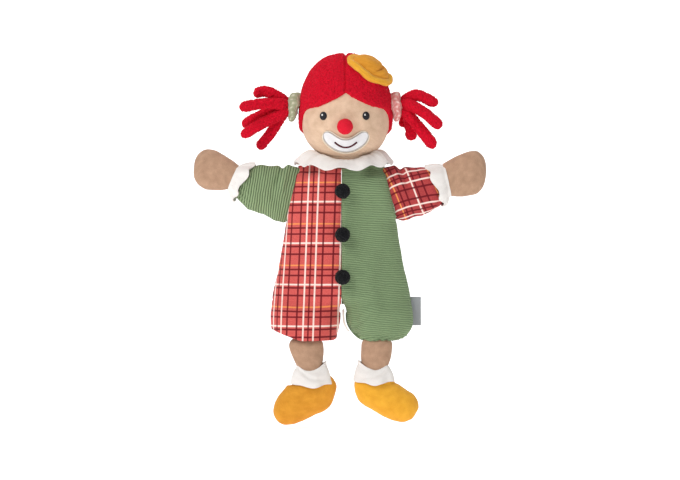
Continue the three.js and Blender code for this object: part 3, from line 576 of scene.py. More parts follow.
def trouser_outline(share, z, inner_top=3.6):
    """The same for a trouser end, whose inner edge bends back."""
    side, depth = through(BODY[:, 0], BODY[:, 1], z), through(BODY[:, 0], BODY[:, 2], z)
    inner = inner_top + 4 * smooth(-z, 10, 36)
    angle = share * math.pi
    x = -(side + inner) / 2 - (side - inner) / 2 * np.cos(angle)
    return x, -3.5 - (depth - 3.5) * np.sin(angle)


def gathered_in(x, y, z, strength):
    """Draws a trouser end in towards the leg below z = -15, as elastic does."""
    down = np.clip((-z - 15) / 19, 0, 0.999)
    keep = 1 - strength * (1 - np.sqrt(1 - down**2))
    return -35.3 + (x + 35.3) * keep, LEG_MIDDLE_Y + (y - LEG_MIDDLE_Y) * (0.25 + 0.75 * keep)


# %% Wrinkles of worn cotton
def wrinkles(grid, seed, deep=1.0):
    """Long folds that hang down, shallow dents and fine creases, in millimetres."""
    folds = noise(grid, (26, 60, 95), seed) * smooth(140 - grid[..., 2], 0, 70)
    dents = noise(grid, (13, 30, 20), seed + 1)
    creases = noise(grid, 5.5, seed + 2)
    return deep * (2.0 * folds + 0.75 * dents + 0.2 * creases)


def valley(distance, depth, width):
    """How far the cloth is pulled in beside a seam."""
    return -depth * np.exp(-((distance / width) ** 2))


# %% Front panels
ROWS, COLUMNS = 250, 110


def along_rows(grid):
    """How far each point lies from the first point of its row."""
    steps = np.linalg.norm(np.diff(grid, axis=1), axis=-1)
    return np.concatenate([np.zeros((len(grid), 1)), np.cumsum(steps, axis=1)], 1)


def hem_height(share, hem_gather):
    """The loose red hem rises towards the side. The gathered green one is level."""
    outer = np.clip(1.06 * np.cos(math.pi * share) - 0.06, 0, 1) ** 1.2
    return -34 + (1 - hem_gather) * (0.6 + 11 * outer + 2 * smooth(share, 0.85, 1))


def front_panel(name, side, material, hem_gather, lean):
    """side is -1 for the puppet's right. hem_gather draws in the trouser end. lean tilts the pattern."""
    share = np.linspace(0, 1, COLUMNS)[None, :]
    down = np.linspace(0, 1, ROWS)[:, None]
    z = SHOULDER + (hem_height(share, hem_gather) - SHOULDER) * down
    body, trouser = body_outline(share, z), trouser_outline(share, z, 4.0 if hem_gather else 0.8)
    mix = smooth(-z, -8, 8)
    x, y = (a + (b - a) * mix for a, b in zip(body, trouser))
    if hem_gather:
        x, y = gathered_in(x, y, z, 0.6 * hem_gather)
    dip = 3.6 * smooth(z, 118, SHOULDER) * (1 - smooth(-x, 14, 26))
    grid = np.stack([np.minimum(x, -0.2), y, z - dip], -1)
    from_side = along_rows(grid)
    from_middle = from_side[:, -1:] - from_side
    fade = smooth(from_middle, 0, 9) * smooth(from_side, 0, 9)
    depth = wrinkles(grid * (side, 1, 1), 11 if side < 0 else 23, 1.0 if side < 0 else 1.35)
    depth = depth * (0.15 + 0.85 * fade) + valley(from_middle, 1.6, 2.0) * smooth(z, -20, 10)
    depth += valley(from_side, 1.2, 2.2)
    pucker = np.exp(-from_middle / 7) * smooth(from_middle, 0, 1.5)
    depth += 0.35 * np.sin(grid[..., 2] * 0.95 + 2 * noise(grid, 16, 3)) * pucker
    if side > 0:  # two long folds of the green half, one straight down and one on the slant
        depth += valley(grid[..., 0] + 13 - 0.05 * z, 1.7, 3.2) * smooth(-z, -48, 5)
        slant = valley(grid[..., 0] + 1.1 * z + 36, 1.3, 2.6)
        depth += slant * smooth(-z, 0, 14) * smooth(-grid[..., 0], 6, 12)
    if hem_gather:
        depth += smooth(-z, 24, 33) * 0.8 * np.sin(from_middle * 0.85)
    else:
        depth += valley(z + 29.5, 0.5, 1.0)
    grid = pushed(grid, depth - 0.3)
    grid[..., 0] = np.minimum(grid[..., 0], -0.15)
    half_width = through(BODY[:, 0], BODY[:, 1], z)
    out = np.clip(-grid[..., 0] / half_width, 0, 1)
    flatter = half_width * (0.75 * out + 0.25 * np.arcsin(out))
    cloth = np.stack([side * flatter - lean * (z + 30), np.broadcast_to(z, x.shape)], -1)
    cloth[..., 1] += (1.6 * noise(grid, 45, 31) + 0.07 * from_middle) * (side > 0)
    return from_grid(name, grid * (-side, 1, 1), material, cloth=cloth)


fronts = {"right": front_panel("right_front_cloth", -1, PLAID, 0.0, 0.035),
          "left": front_panel("left_front_cloth", 1, GREEN, 1.0, 0.0)}
for side, slot in (("right", "plaid_cotton"), ("left", "green_rib")):
    thicken(fronts[side], 1.4)
    dress(fronts[side], slot, f"{side}_front_panel")


# %% Back panels
def back_panel(name, side, material):
    """The back stops at the hand opening."""
    share = np.linspace(0, 1, COLUMNS)[None, :]
    z = np.linspace(SHOULDER, 0, 190)[:, None]
    x, y = body_outline(share, z)
    dip = 2.4 * smooth(z, 118, SHOULDER) * (1 - smooth(-x, 14, 26))
    grid = np.stack([np.minimum(x, -0.2), -y, z - dip], -1)
    fade = smooth(-x, 0, 8) * smooth(share, 0, 0.12)
    depth = wrinkles(grid * (side, 1, 1), 41 if side < 0 else 57) * (0.15 + 0.85 * fade)
    depth += valley(-x, 1.6, 2.0) + valley(share * 80, 1.2, 2.2) + valley(z - 5, 0.5, 1.0)
    grid = pushed(grid, depth - 0.3)
    grid[..., 0] = np.minimum(grid[..., 0], -0.15)
    cloth = np.stack([-side * grid[..., 0] - 0.3 * side * grid[..., 1], np.broadcast_to(z, x.shape)], -1)
    return from_grid(name, grid * (-side, 1, 1), material, cloth=cloth)


backs = {"right": back_panel("right_back_cloth", -1, PLAID), "left": back_panel("left_back_cloth", 1, GREEN)}
for side, slot in (("right", "plaid_cotton"), ("left", "green_rib")):
    thicken(backs[side], 1.4)
    dress(backs[side], slot, f"{side}_back_panel")


# %% Trouser backs and the hand opening's facing
def trouser_back(name, side, material, hem_gather):
    """Closes a trouser end behind the leg."""
    share = np.linspace(0, 1, 70)[None, :]
    down = np.linspace(0, 1, 46)[:, None]
    z = -7 + (hem_height(np.arccos(1 - 2 * share) / math.pi, hem_gather) + 7.8) * down
    edges = [trouser_outline(0 * z + end, z, 4.0 if hem_gather else 0.8)[0] for end in (0, 1)]
    x = edges[0] + (edges[1] - edges[0]) * share
    y = -3.4 + 2.6 * np.sin(math.pi * share) + 0 * z
    if hem_gather:
        x, y = gathered_in(x, y, z, 0.6 * hem_gather)
        y = y - 2.2 * smooth(-z, 24, 33.5)
    grid = np.stack([x, y, z + 0 * x], -1)
    grid = pushed(grid, 0.5 * noise(grid, (14, 20, 12), 71))
    return from_grid(name, grid * (-side, 1, 1), material)


for side, sign, cloth, slot, gather in (("right", -1, PLAID, "plaid_cotton", 0.0),
                                        ("left", 1, GREEN, "green_rib", 1.0)):
    back = thicken(trouser_back(f"{side}_trouser_back_cloth", sign, cloth, gather), 1.2)
    dress(back, slot, f"{side}_trouser_back")
    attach(back, "root")


# %% Lining
def lining(name, facing):
    """A loose layer inside the front or the back, cut back from the armholes."""
    share = np.linspace(0, 1, 60)[None, :]
    z = np.linspace(112, 7, 80)[:, None]
    side, depth = through(BODY[:, 0], BODY[:, 1], z), through(BODY[:, 0], BODY[:, 2], z)
    start = 0.16 + np.arcsin(15.5 / depth) * smooth(z, ARMPIT, ARMPIT + 10) + 0.22 * smooth(z, 64, 80)
    seam = np.arcsin(ARMHOLE_HALF_DEPTH / depth) * smooth(z, ARMPIT, ARMPIT + 10)
    angle = start + share * (math.pi - 2 * start)
    x = -(side / np.cos(seam) - 5.0) * np.cos(angle)
    y = -(depth - 5.0) * np.sin(angle)
    grid = np.stack([x, y, z + 0 * x], -1)
    grid = pushed(grid, 0.7 * noise(grid, (12, 20, 40), 83))
    return from_grid(name, grid * (1, -facing, 1), LINING)


for name, facing in (("front", -1), ("back", 1)):
    layer = thicken(lining(f"{name}_lining_cloth", facing), 0.6)
    dress(layer, "lining_cotton", f"{name}_lining")
    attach(layer, "root")

# %% [markdown]
# A strip of the pale lining shows at the inner edge of the green trouser end, where the facing turns out.
# It is a narrow rolled strip.

# %% Facing that shows at the green trouser end
height = np.linspace(-4, -25, 40)[:, None]
turn = np.linspace(-0.9, 1.3, 12)[None, :]
edge_x = trouser_outline(np.ones_like(height), height, 4.0)[0]
edge_x = -gathered_in(edge_x, -3.5 + 0 * edge_x, height, 0.6)[0]
strip_x, strip_y = edge_x - 0.8 - 2.3 * np.cos(turn), -7.0 - 4.2 * np.sin(turn)
strip = np.stack([strip_x, strip_y + 0 * height, height + 0 * turn], -1)
facing_strip = thicken(from_grid("trouser_facing", strip, LINING), 0.5)
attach(facing_strip, "root")


# %% [markdown]
# ## Collar, pompoms and label
# The collar is a long strip of white jersey, gathered at the neck, so its free edge is much longer than the
# neck and has to wave. The waves grow from nothing at the neck to their full size at the edge. It lies flat
# behind the head, arches over the shoulders and falls forward under the chin.

# %% Collar
collar_low, collar_high = box_mm("collar_frill")
NECK_X = (collar_low[0] + collar_high[0]) / 2
COLLAR_WAVES = 11


def collar():
    """The gathered strip, from the neck (out 0) to its free edge (out 1)."""
    out = np.linspace(0, 1, 34)[:, None]
    angle = np.linspace(0, 2 * math.pi, 520, endpoint=False)[None, :]
    back = smooth(np.sin(angle), 0.0, 0.6)
    wave = np.sin(COLLAR_WAVES * angle + 0.8 * np.sin(2 * angle) + 0.4)
    fine = np.sin(37 * angle + 2 * np.sin(3 * angle))
    side = np.cos(angle) ** 2
    across = 21 + 26.5 * out**0.85 + 1.2 * out * np.cos(COLLAR_WAVES * angle)
    deep = 17.5 + 12.5 * out**0.85 + 1.0 * out * np.cos(COLLAR_WAVES * angle)
    neck = 138.6 + 2.5 * side - 3 * back
    edge = 129.4 + 7.0 * side + 3 * back
    swell = 1.6 + 7.6 * side**0.8
    z = neck + (edge - neck) * out**1.25 + swell * np.sin(math.pi * out**0.85)
    z = z + out * (1.9 * wave) + 0.45 * fine * out * (1 - out) * 2
    x = NECK_X - 2.6 * out + across * np.cos(angle)
    grid = np.stack([x, deep * np.sin(angle) + 0 * out, z], -1)
    return pushed(grid, 0.35 * noise(grid, 6, 91), around=True)


collar_cloth = thicken(from_grid("collar_cloth", collar(), WHITE, around=True), 0.9)
dress(collar_cloth, "white_jersey", "collar_frill")

# %% [markdown]
# A wool pompom is a ball of cut yarn ends. A knobbly ball gives its body, and several hundred short spikes of
# yarn that stand out of it break up the outline. The spikes are one mesh with the ball.


# %% Pompoms
def ball(middle, radii, rows=60, columns=90):
    """A grid on an oval ball, without its poles."""
    lift = np.linspace(0.02, math.pi - 0.02, rows)[:, None]
    angle = np.linspace(0, 2 * math.pi, columns, endpoint=False)[None, :]
    ring, level = np.sin(lift), np.cos(lift) + 0 * angle
    unit = np.stack([ring * np.cos(angle), ring * np.sin(angle), level], -1)
    return np.asarray(middle) + unit * np.asarray(radii), unit


def add_spikes(piece, middle, radius, count, seed):
    """Adds thin three-sided spikes that stand on a ball."""
    random = np.random.default_rng(seed)
    way = random.normal(size=(count, 3))
    way /= np.linalg.norm(way, axis=1)[:, None]
    side = np.cross(way, random.normal(size=(count, 3)))
    side /= np.linalg.norm(side, axis=1)[:, None]
    other = np.cross(way, side)
    foot = middle + way * radius * 0.93
    tip = middle + way * (radius + random.uniform(-0.1, 0.75, (count, 1))) + side * 0.5
    turn = [0, 2 * math.pi / 3, 4 * math.pi / 3]
    feet = [foot + 0.34 * (math.cos(t) * side + math.sin(t) * other) for t in turn]
    points = np.stack([*feet, tip], 1).reshape(-1, 3)
    start = len(piece.data.vertices)
    old = [v.co[:] for v in piece.data.vertices]
    faces = [list(f.vertices) for f in piece.data.polygons]
    for i in range(start, start + 4 * count, 4):
        faces += [[i, i + 1, i + 3], [i + 1, i + 2, i + 3], [i + 2, i, i + 3]]
    mesh = bpy.data.meshes.new(piece.name)
    mesh.from_pydata(old + (points * MM).tolist(), [], faces)
    mesh.uv_layers.new(name="cloth")
    corner_points = np.array(old + (points * MM).tolist())[[l.vertex_index for l in mesh.loops]]
    mesh.uv_layers[0].data.foreach_set("uv", corner_points[:, [0, 2]].astype(np.float32).ravel())
    mesh.polygons.foreach_set("use_smooth", [True] * len(faces))
    mesh.materials.append(piece.data.materials[0])
    piece.data = mesh


for seed, place in enumerate(("top", "middle", "bottom")):
    low, high = box_mm(f"pompom_{place}")
    centre, radius = (low + high) / 2, (high - low)[1] / 2
    grid, unit = ball(centre, [radius * 0.93] * 3)
    grid = grid + unit * (0.55 * noise(grid, 1.7, seed) + 0.35 * noise(grid, 0.9, seed + 9))[..., None]
    pompom = from_grid(f"pompom_{place}_wool", grid, POMPOM, around=True, ends=(True, True))
    add_spikes(pompom, centre, radius * 0.93, 900, seed)
    dress(pompom, "pompom_wool", f"pompom_{place}")
    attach(pompom, "root")

# %% [markdown]
# The side label is a short ribbon folded in half and caught in the side seam. It is left blank.

# %% Side label
low, high = box_mm("side_label")
turn = np.linspace(-math.pi / 2, math.pi / 2, 9)
fold_x = np.concatenate([[low[0] - 3], high[0] - 0.4 + 0.4 * np.cos(turn), [low[0] - 3]])
fold_y = np.concatenate([[-0.4], 0.4 * np.sin(turn), [0.4]])
steps = np.linspace(0, 1, 60)
ribbon_x, ribbon_y = (np.interp(steps, np.linspace(0, 1, len(fold)), fold) for fold in (fold_x, fold_y))
height = np.linspace(high[2], low[2], 40)[:, None]
curve = 0.5 * np.sin((height - low[2]) / 7) * smooth(ribbon_x, 68, 76)
grid = np.stack([ribbon_x + 0 * height, ribbon_y + curve, height + 0 * ribbon_x], -1)
label = thicken(from_grid("side_label_ribbon", grid, LABEL), 0.25)
dress(label, "label_satin", "side_label")
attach(label, "root")


# %% [markdown]
# ## The head
# The head is a stuffed ball, squarer than an oval, with velour for the face and red terry for the hair. One
# formula places a point on it from a direction round the head and a lift above its widest line. The hair is
# the same formula a little further out, ending in a rounded edge along the hairline.

# %% Shape of the head
HEAD = np.array([NECK_X, 0.0, 180.0])
FACE_WIDE, FACE_DEEP, FACE_UP, FACE_DOWN = 42.4, 38.0, 59.0, 41.0
SQUARENESS = 2.3  # 2 gives an oval, more is squarer


def head_point(angle, lift, proud=0.0):
    """A point on the head. angle is 0 at the nose and grows to the puppet's left. lift is a quarter turn at
    the top, 0 at the widest line and minus a quarter turn under the chin."""
    ring = np.cos(lift) ** (2 / SQUARENESS)
    rise = np.sign(lift) * np.abs(np.sin(lift)) ** (2 / SQUARENESS)
    tall = np.where(lift > 0, FACE_UP + proud, FACE_DOWN + proud)
    return np.stack([HEAD[0] + (FACE_WIDE + proud) * ring * np.sin(angle),
                     HEAD[1] - (FACE_DEEP + proud) * ring * np.cos(angle),
                     HEAD[2] + tall * rise + 0 * angle], -1)


def lift_at(z):
    """The lift that reaches height z."""
    rise = (np.asarray(z, float) - HEAD[2]) / np.where(np.asarray(z) > HEAD[2], FACE_UP, FACE_DOWN)
    return np.sign(rise) * np.arcsin(np.clip(np.abs(rise), 0, 1) ** (SQUARENESS / 2))


def face_front(x, z):
    """y on the front of the face."""
    ring = np.cos(lift_at(z)) ** (2 / SQUARENESS)
    return -FACE_DEEP * ring * np.sqrt(np.clip(1 - ((x - HEAD[0]) / (FACE_WIDE * ring)) ** 2, 0, 1))


angle = np.linspace(-math.pi, math.pi, 240, endpoint=False)[None, :]
lift = np.linspace(1.53, -1.53, 170)[:, None]
skin = head_point(angle, lift, -0.2)
skin = pushed(skin, 0.55 * noise(skin, 17, 201) + 0.12 * noise(skin, 4, 202), around=True)
nose_low, nose_high = box_mm("nose")
nose_middle = (nose_low + nose_high) / 2
from_nose = np.linalg.norm(skin - nose_middle * (1, 0, 1) - (0, -FACE_DEEP, 0), axis=-1)
skin[..., 1] += 1.6 * np.exp(-(from_nose / 9) ** 2)
head_cloth = from_grid("head_velour", skin, SKIN, around=True, ends=(True, True))
dress(head_cloth, "skin_velour", "face_panel", "head_stuffing")
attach(head_cloth, "head")

# %% Hairline, from the peak in the middle to behind the ears
HAIRLINE = np.array([  # degrees from the nose, height
    (0, 200.8), (8, 196.8), (16, 193.9), (27, 190.4), (38, 188.0), (50, 187.4), (62, 186.0), (72, 181.5),
    (82, 174.0), (90, 169.0), (100, 166.5), (110, 164.0), (118, 160.0), (126, 156.0), (136, 153.0),
    (180, 151.0),
])
HAIR_PROUD = 2.2


def hair_half(name, side):
    """Half of the hair, from the parting to the parting behind."""
    degrees = np.concatenate([np.linspace(0, 112, 170), np.linspace(112.8, 180, 84)])[None, :]
    down = (np.linspace(0, 1, 190)[:, None]) ** 0.9
    edge = lift_at(np.interp(degrees, HAIRLINE[:, 0], HAIRLINE[:, 1]))
    top = 1.545
    lift = top + (edge - top) * down
    turn = np.radians(degrees)
    grid = head_point(side * turn, lift, HAIR_PROUD)
    to_edge = np.linalg.norm(grid - grid[-1:], axis=-1)
    beside = np.abs(grid[..., 0] - HEAD[0])
    lip = np.sqrt(np.clip(1 - np.clip(1 - to_edge / 2.4, 0, 1) ** 2, 0, 1))
    parting = 1 - 0.75 * np.exp(-(beside / 1.5) ** 2)
    curl = np.abs(noise(grid, 2.6, 301))
    loop = 0.7 * (0.6 - 2.2 * curl) + 0.4 * noise(grid, 1.2, 302) + 0.8 * noise(grid, 12, 303)
    height = (HAIR_PROUD + 0.5 + loop * 0.75) * lip * parting - 0.45 * (1 - lip)
    base = head_point(side * turn, lift, 0.0)
    grid = base + normals_of(head_point(side * turn, lift, HAIR_PROUD)) * height[..., None]
    grid[..., 2] += 0.5 * noise(grid, 1.8, 304) * np.exp(-to_edge / 2)
    return from_grid(name, grid, TERRY)


for side, sign in (("right", -1), ("left", 1)):
    hair = hair_half(f"{side}_hair_terry", sign)
    dress(hair, "red_terry", f"{side}_hair_cap")
    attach(hair, "head")

# %% [markdown]
# ## The face
# The eyes are satin stitch: close parallel threads that stand a little above the velour. The mouth is a
# crescent of white felt, held by a cream edging with a thin grey line inside it, which is painted shade
# for the groove beside the edging, and the smile is sewn over it. Each follows the curve of the face, so none
# of them floats.


# %% Eyes
def patch(name, x, z, half_wide, half_tall, proud, material, base=0.15):
    """A small oval cushion of stitches that lies on the face."""
    reach = np.linspace(0.02, 1, 22)[:, None]
    turn = np.linspace(0, 2 * math.pi, 56, endpoint=False)[None, :]
    px = x + half_wide * reach * np.cos(turn)
    pz = z + half_tall * reach * np.sin(turn)
    y = face_front(px, pz) - base - proud * np.sqrt(1 - reach**2 * 0.98) + 0.5 * smooth(reach, 0.93, 1)
    grid = np.stack([px, y, pz], -1)
    cloth = np.stack([px, pz], -1)
    cloth = np.concatenate([cloth, cloth[:, :1]], 1)
    return from_grid(name, grid, material, around=True, cloth=cloth, ends=(True, False))


for side in ("right", "left"):
    low, high = box_mm(f"{side}_eye")
    x, z = ((low + high) / 2)[[0, 2]]
    eye = patch(f"{side}_eye_stitches", x, z, 3.4, 4.0, 1.1, BLACK_THREAD)
    dress(eye, "embroidery_black", f"{side}_eye")
    # The glint is a small white stitched patch that stands for the highlight on the eye: a painted highlight.
    glint = patch(f"{side}_eye_glint", x - 1.0, z + 0.9, 0.8, 1.0, 0.5, HIGHLIGHT_THREAD, base=0.95)
    for thing in (eye, glint):
        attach(thing, "head")


# %% Mouth
def mouth_line(t, span, middle_z, rise):
    """x and z along a line that curls up at both ends. t runs from -1 to 1."""
    return HEAD[0] + t * span, middle_z + rise * t * t


def tube(name, path, radius, material, sides=14, closed=False):
    """A round cord along a path of points. radius may change along it."""
    if closed:
        along = np.roll(path, -1, 0) - np.roll(path, 1, 0)
    else:
        along = np.gradient(path, axis=0)
    along /= np.linalg.norm(along, axis=1)[:, None]
    side = np.cross(along, (0, 1, 0))
    side /= np.maximum(np.linalg.norm(side, axis=1)[:, None], 1e-6)
    other = np.cross(along, side)
    turn = np.linspace(0, 2 * math.pi, sides, endpoint=False)
    radius = np.broadcast_to(radius, len(path))[:, None, None]
    ring = np.cos(turn)[None, :, None] * side[:, None] + np.sin(turn)[None, :, None] * other[:, None]
    grid = path[:, None] + radius * ring
    if closed:
        grid = np.concatenate([grid, grid[:1]])
    return from_grid(name, grid, material, around=True, ends=(not closed, not closed))


MOUTH_HALF = 5.7
MOUTH_Z = 151.2
t = np.linspace(-1, 1, 150)[:, None]
cross = np.linspace(-1, 1, 30)[None, :]
middle_x, middle_z = mouth_line(t, 20.4, MOUTH_Z, 12)
half = MOUTH_HALF * np.sqrt(np.clip(1 - np.abs(t) ** 7, 0.0, 1))
lean = -0.75 * t
px = middle_x + np.sin(lean) * half * cross
pz = middle_z + np.cos(lean) * half * cross
rounding = np.sqrt(np.clip(1 - cross**8, 0, 1))
felt = np.stack([px, face_front(px, pz) - 0.2 - 1.0 * rounding, pz], -1)
felt = felt + np.array([0, 1.0, 0]) * (0.12 * noise(felt, 3, 401))[..., None]
mouth = from_grid("mouth_felt_crescent", felt, FELT, cloth=np.stack([px, pz], -1))
mouth = thicken(mouth, 0.6)
dress(mouth, "mouth_felt", "mouth_patch")
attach(mouth, "head")


def mouth_rim(outside, lift):
    """An even path round the felt, so far outside its edge and so far off the face."""
    reach = half + outside
    lower, upper = ((middle_x + np.sin(lean) * reach * way, middle_z + np.cos(lean) * reach * way)
                    for way in (-1, 1))
    outline = np.concatenate([np.concatenate(lower, 1), np.concatenate(upper, 1)[::-1]])
    outline = np.concatenate([outline, outline[:1]])
    run = np.concatenate([[0], np.cumsum(np.linalg.norm(np.diff(outline, axis=0), axis=1))])
    even = np.linspace(0, run[-1], 420, endpoint=False)
    rim_x, rim_z = (np.interp(even, run, outline[:, k]) for k in (0, 1))
    return np.stack([rim_x, face_front(rim_x, rim_z) - lift, rim_z], -1)


rim = mouth_rim(0.75, 0.5)
stitch = 0.6 + 0.1 * np.sin(np.arange(len(rim)) * 2 * math.pi / 4.2)
edging = tube("mouth_edging", rim, stitch, CREAM_THREAD, closed=True)
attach(edging, "head")
# A thin grey cord inside the edging: painted shade for the groove where the felt meets it.
groove_shade_line = tube("mouth_groove_painted_shade", mouth_rim(-0.5, 1.15), 0.3, GROOVE_SHADE_THREAD, closed=True)
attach(groove_shade_line, "head")
t = np.linspace(-1, 1, 120)
smile_x, smile_z = mouth_line(t, 10.5, 149.8, 4.8)
smile_path = np.stack([smile_x, face_front(smile_x, smile_z) - 1.35, smile_z], -1)
thread = 0.82 + 0.12 * np.abs(np.sin(np.arange(120) * 0.42))
smile = tube("smile_stitches", smile_path, thread, BURGUNDY_THREAD)
dress(smile, "embroidery_burgundy", "smile_line")
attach(smile, "head")

# %% [markdown]
# The nose is a jersey ball drawn closed with a thread behind, so it is puckered only where it meets the face.

# %% Nose
grid, unit = ball(nose_middle, (nose_high - nose_low) / 2, 90, 120)
behind = smooth(unit[..., 1], 0.1, 0.95)
turn = np.arctan2(unit[..., 2], unit[..., 0])
grid = grid + unit * (0.25 * noise(grid, 5, 501) - behind * (0.6 + 0.5 * np.sin(13 * turn)))[..., None]
nose = from_grid("nose_jersey_ball", grid, NOSE, around=True, ends=(True, True))
dress(nose, "nose_jersey", "nose")
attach(nose, "head")

# %% [markdown]
# ## The little hat
# The hat is a padded dome in a rolled brim, sewn on at a tilt. It is made upright round the Z axis and then
# turned, because a round thing is simplest to describe when it stands straight.

# %% Hat
HAT_MIDDLE = np.array([25.2, -18.0, 221.3])
HAT_UP = np.array([0.5, -0.38, 0.776]) / np.linalg.norm([0.5, -0.38, 0.776])
HAT_LONG = np.array([0.863, 0.277, -0.422])
HAT_ACROSS = np.cross(HAT_UP, HAT_LONG)


def on_hat(grid, gap):
    """Sets a grid made upright where the hat sits, and presses it off the hair where it would sink in."""
    grid = grid[..., :1] * HAT_LONG + grid[..., 1:2] * HAT_ACROSS + grid[..., 2:] * HAT_UP + HAT_MIDDLE
    away = (grid - HEAD) / (FACE_WIDE + HAIR_PROUD, FACE_DEEP + HAIR_PROUD, FACE_UP + HAIR_PROUD)
    ring = np.linalg.norm(away[..., :2], axis=-1)
    share = (ring**SQUARENESS + np.abs(away[..., 2]) ** SQUARENESS) ** (1 / SQUARENESS)
    return HEAD + (grid - HEAD) * np.maximum(1, (1 + gap / 45) / share)[..., None]


angle = np.linspace(0, 2 * math.pi, 240, endpoint=False)[None, :]
roll = np.linspace(0, 2 * math.pi, 64)[:, None]
loose = 1 + 0.06 * np.sin(3 * angle + 1) + 0.03 * np.sin(7 * angle)
section = 3.9 * loose - 0.55 * np.exp(-((roll - 0.55) / 0.16) ** 2)
wide = 21.2 + 0.5 * np.sin(2 * angle) + section * np.cos(roll)
height = 2.5 + 0.85 * section * np.sin(roll) + 1.1 * np.sin(2 * angle + 0.6) + 0.5 * np.sin(5 * angle)
brim = np.stack([wide * np.cos(angle), (wide - 7.6) * np.sin(angle), height], -1)
brim = brim + 0.4 * noise(brim, 7, 601)[..., None] * normals_of(brim, True)
brim_cloth = from_grid("hat_brim_velour", on_hat(brim, 0.6), MUSTARD, around=True)
dress(brim_cloth, "mustard_velour", "hat_brim")
reach = np.linspace(0.02, 1, 80)[:, None]
dome = 1.2 + 14.6 * np.sqrt(np.clip(1 - (reach * 0.99) ** 2.4, 0, 1))
crown = np.stack([20.0 * reach * np.cos(angle), 11.6 * reach * np.sin(angle), dome + 0 * angle], -1)
crown[..., 0] -= 1.6 * smooth(dome, 6, 16)
fold = np.exp(-((crown[..., 0] - 9.5 + 0.07 * crown[..., 1] ** 2) / 1.7) ** 2)
crown[..., 2] -= 3.6 * fold * (1 - reach**5)
crown[..., 2] += 0.7 * noise(crown, 8, 602) * (1 - reach**6)
# The crown takes the darker copy of the velour: painted shade.
crown_cloth = from_grid("hat_crown_velour", on_hat(crown, 1.0), MUSTARD_PAINTED_SHADE, around=True,
                        ends=(True, False))
dress(crown_cloth, "mustard_velour", "hat_crown")
for thing in (brim_cloth, crown_cloth):
    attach(thing, "head")

# %% [markdown]
# ## Pigtails
# Each pigtail is five strips of rolled terry that come out of a gathered hair tie. The strips are tubes along
# a short curve. Their loops are real bumps, as in the hair, because a strip is seen against the light and a
# painted bump would leave its outline smooth. The tie is sewn to the head, and the strips swing inside it.

# %% Hair ties
def hair_tie(name, side, material):
    """A gathered ring of cloth round the pigtail's root."""
    low, high = box_mm(f"{name}_scrunchie")
    middle, radius = (low + high) / 2, (high[2] - low[2]) / 2
    near, far = (high[0] + 2, low[0]) if side < 0 else (low[0] - 2, high[0])
    out = np.linspace(0, 1, 46)[:, None]
    turn = np.linspace(0, 2 * math.pi, 300, endpoint=False)[None, :]
    swell = np.clip(1 - np.abs(2 * out**1.3 - 0.9) ** 3.2, 0, 1) ** 0.5
    flute = np.sin(9 * turn + 1.2 * np.sin(3 * turn)) + 0.3 * np.sin(19 * turn + 2 * np.sin(2 * turn))
    wide = 7.0 + (radius - 7.6) * swell + 0.8 * flute * swell
    x = near + (far - near) * out + 1.0 * np.sin(5 * turn + 2 * np.sin(2 * turn)) * swell
    grid = np.stack([x, middle[1] + 0.86 * wide * np.cos(turn), middle[2] + wide * np.sin(turn)], -1)
    grid[..., 0] -= side * 3.0 * np.sin(turn) * (1 - out)
    grid = pushed(grid, 0.8 * noise(grid, 7, 610), around=True)
    made = thicken(from_grid(f"{name}_hair_tie", grid, material, around=True), 0.6)
    dress(made, "sage_print" if side < 0 else "pink_print", f"{name}_scrunchie")
    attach(made, "head")
    return middle


TIES = {"right": hair_tie("right", -1, SAGE_CHECK), "left": hair_tie("left", 1, PINK_CHECK)}

# %% Strips of terry: where each one bends and where it ends
STRIPS = {  # x, y and z of the middle and of the tip
    "right": [((-72, -4, 204.6), (-84, -6, 202.6)), ((-76, -13, 192.4), (-97, -17, 188.0)),
              ((-76, 6, 183.0), (-95.5, 5, 172.5)), ((-76, -5, 174.0), (-96.0, -6, 161.6)),
              ((-68, 8, 165.5), (-80.8, 12, 151.0))],
    "left": [((74, -4, 200.8), (92, -6, 192.2)), ((79, -11, 184.0), (95, -14, 169.4)),
             ((75, -4, 169.6), (89.4, -6, 150.6)), ((66.4, 9, 172), (67.4, 12, 159.0)),
             ((63, 16, 183), (59.4, 19, 172))],
}
ROOT_TURNS = {"right": (0.0, 0.2, 0.8, 0.4, 0.6), "left": (0.0, 0.2, 0.4, 0.6, 0.8)}


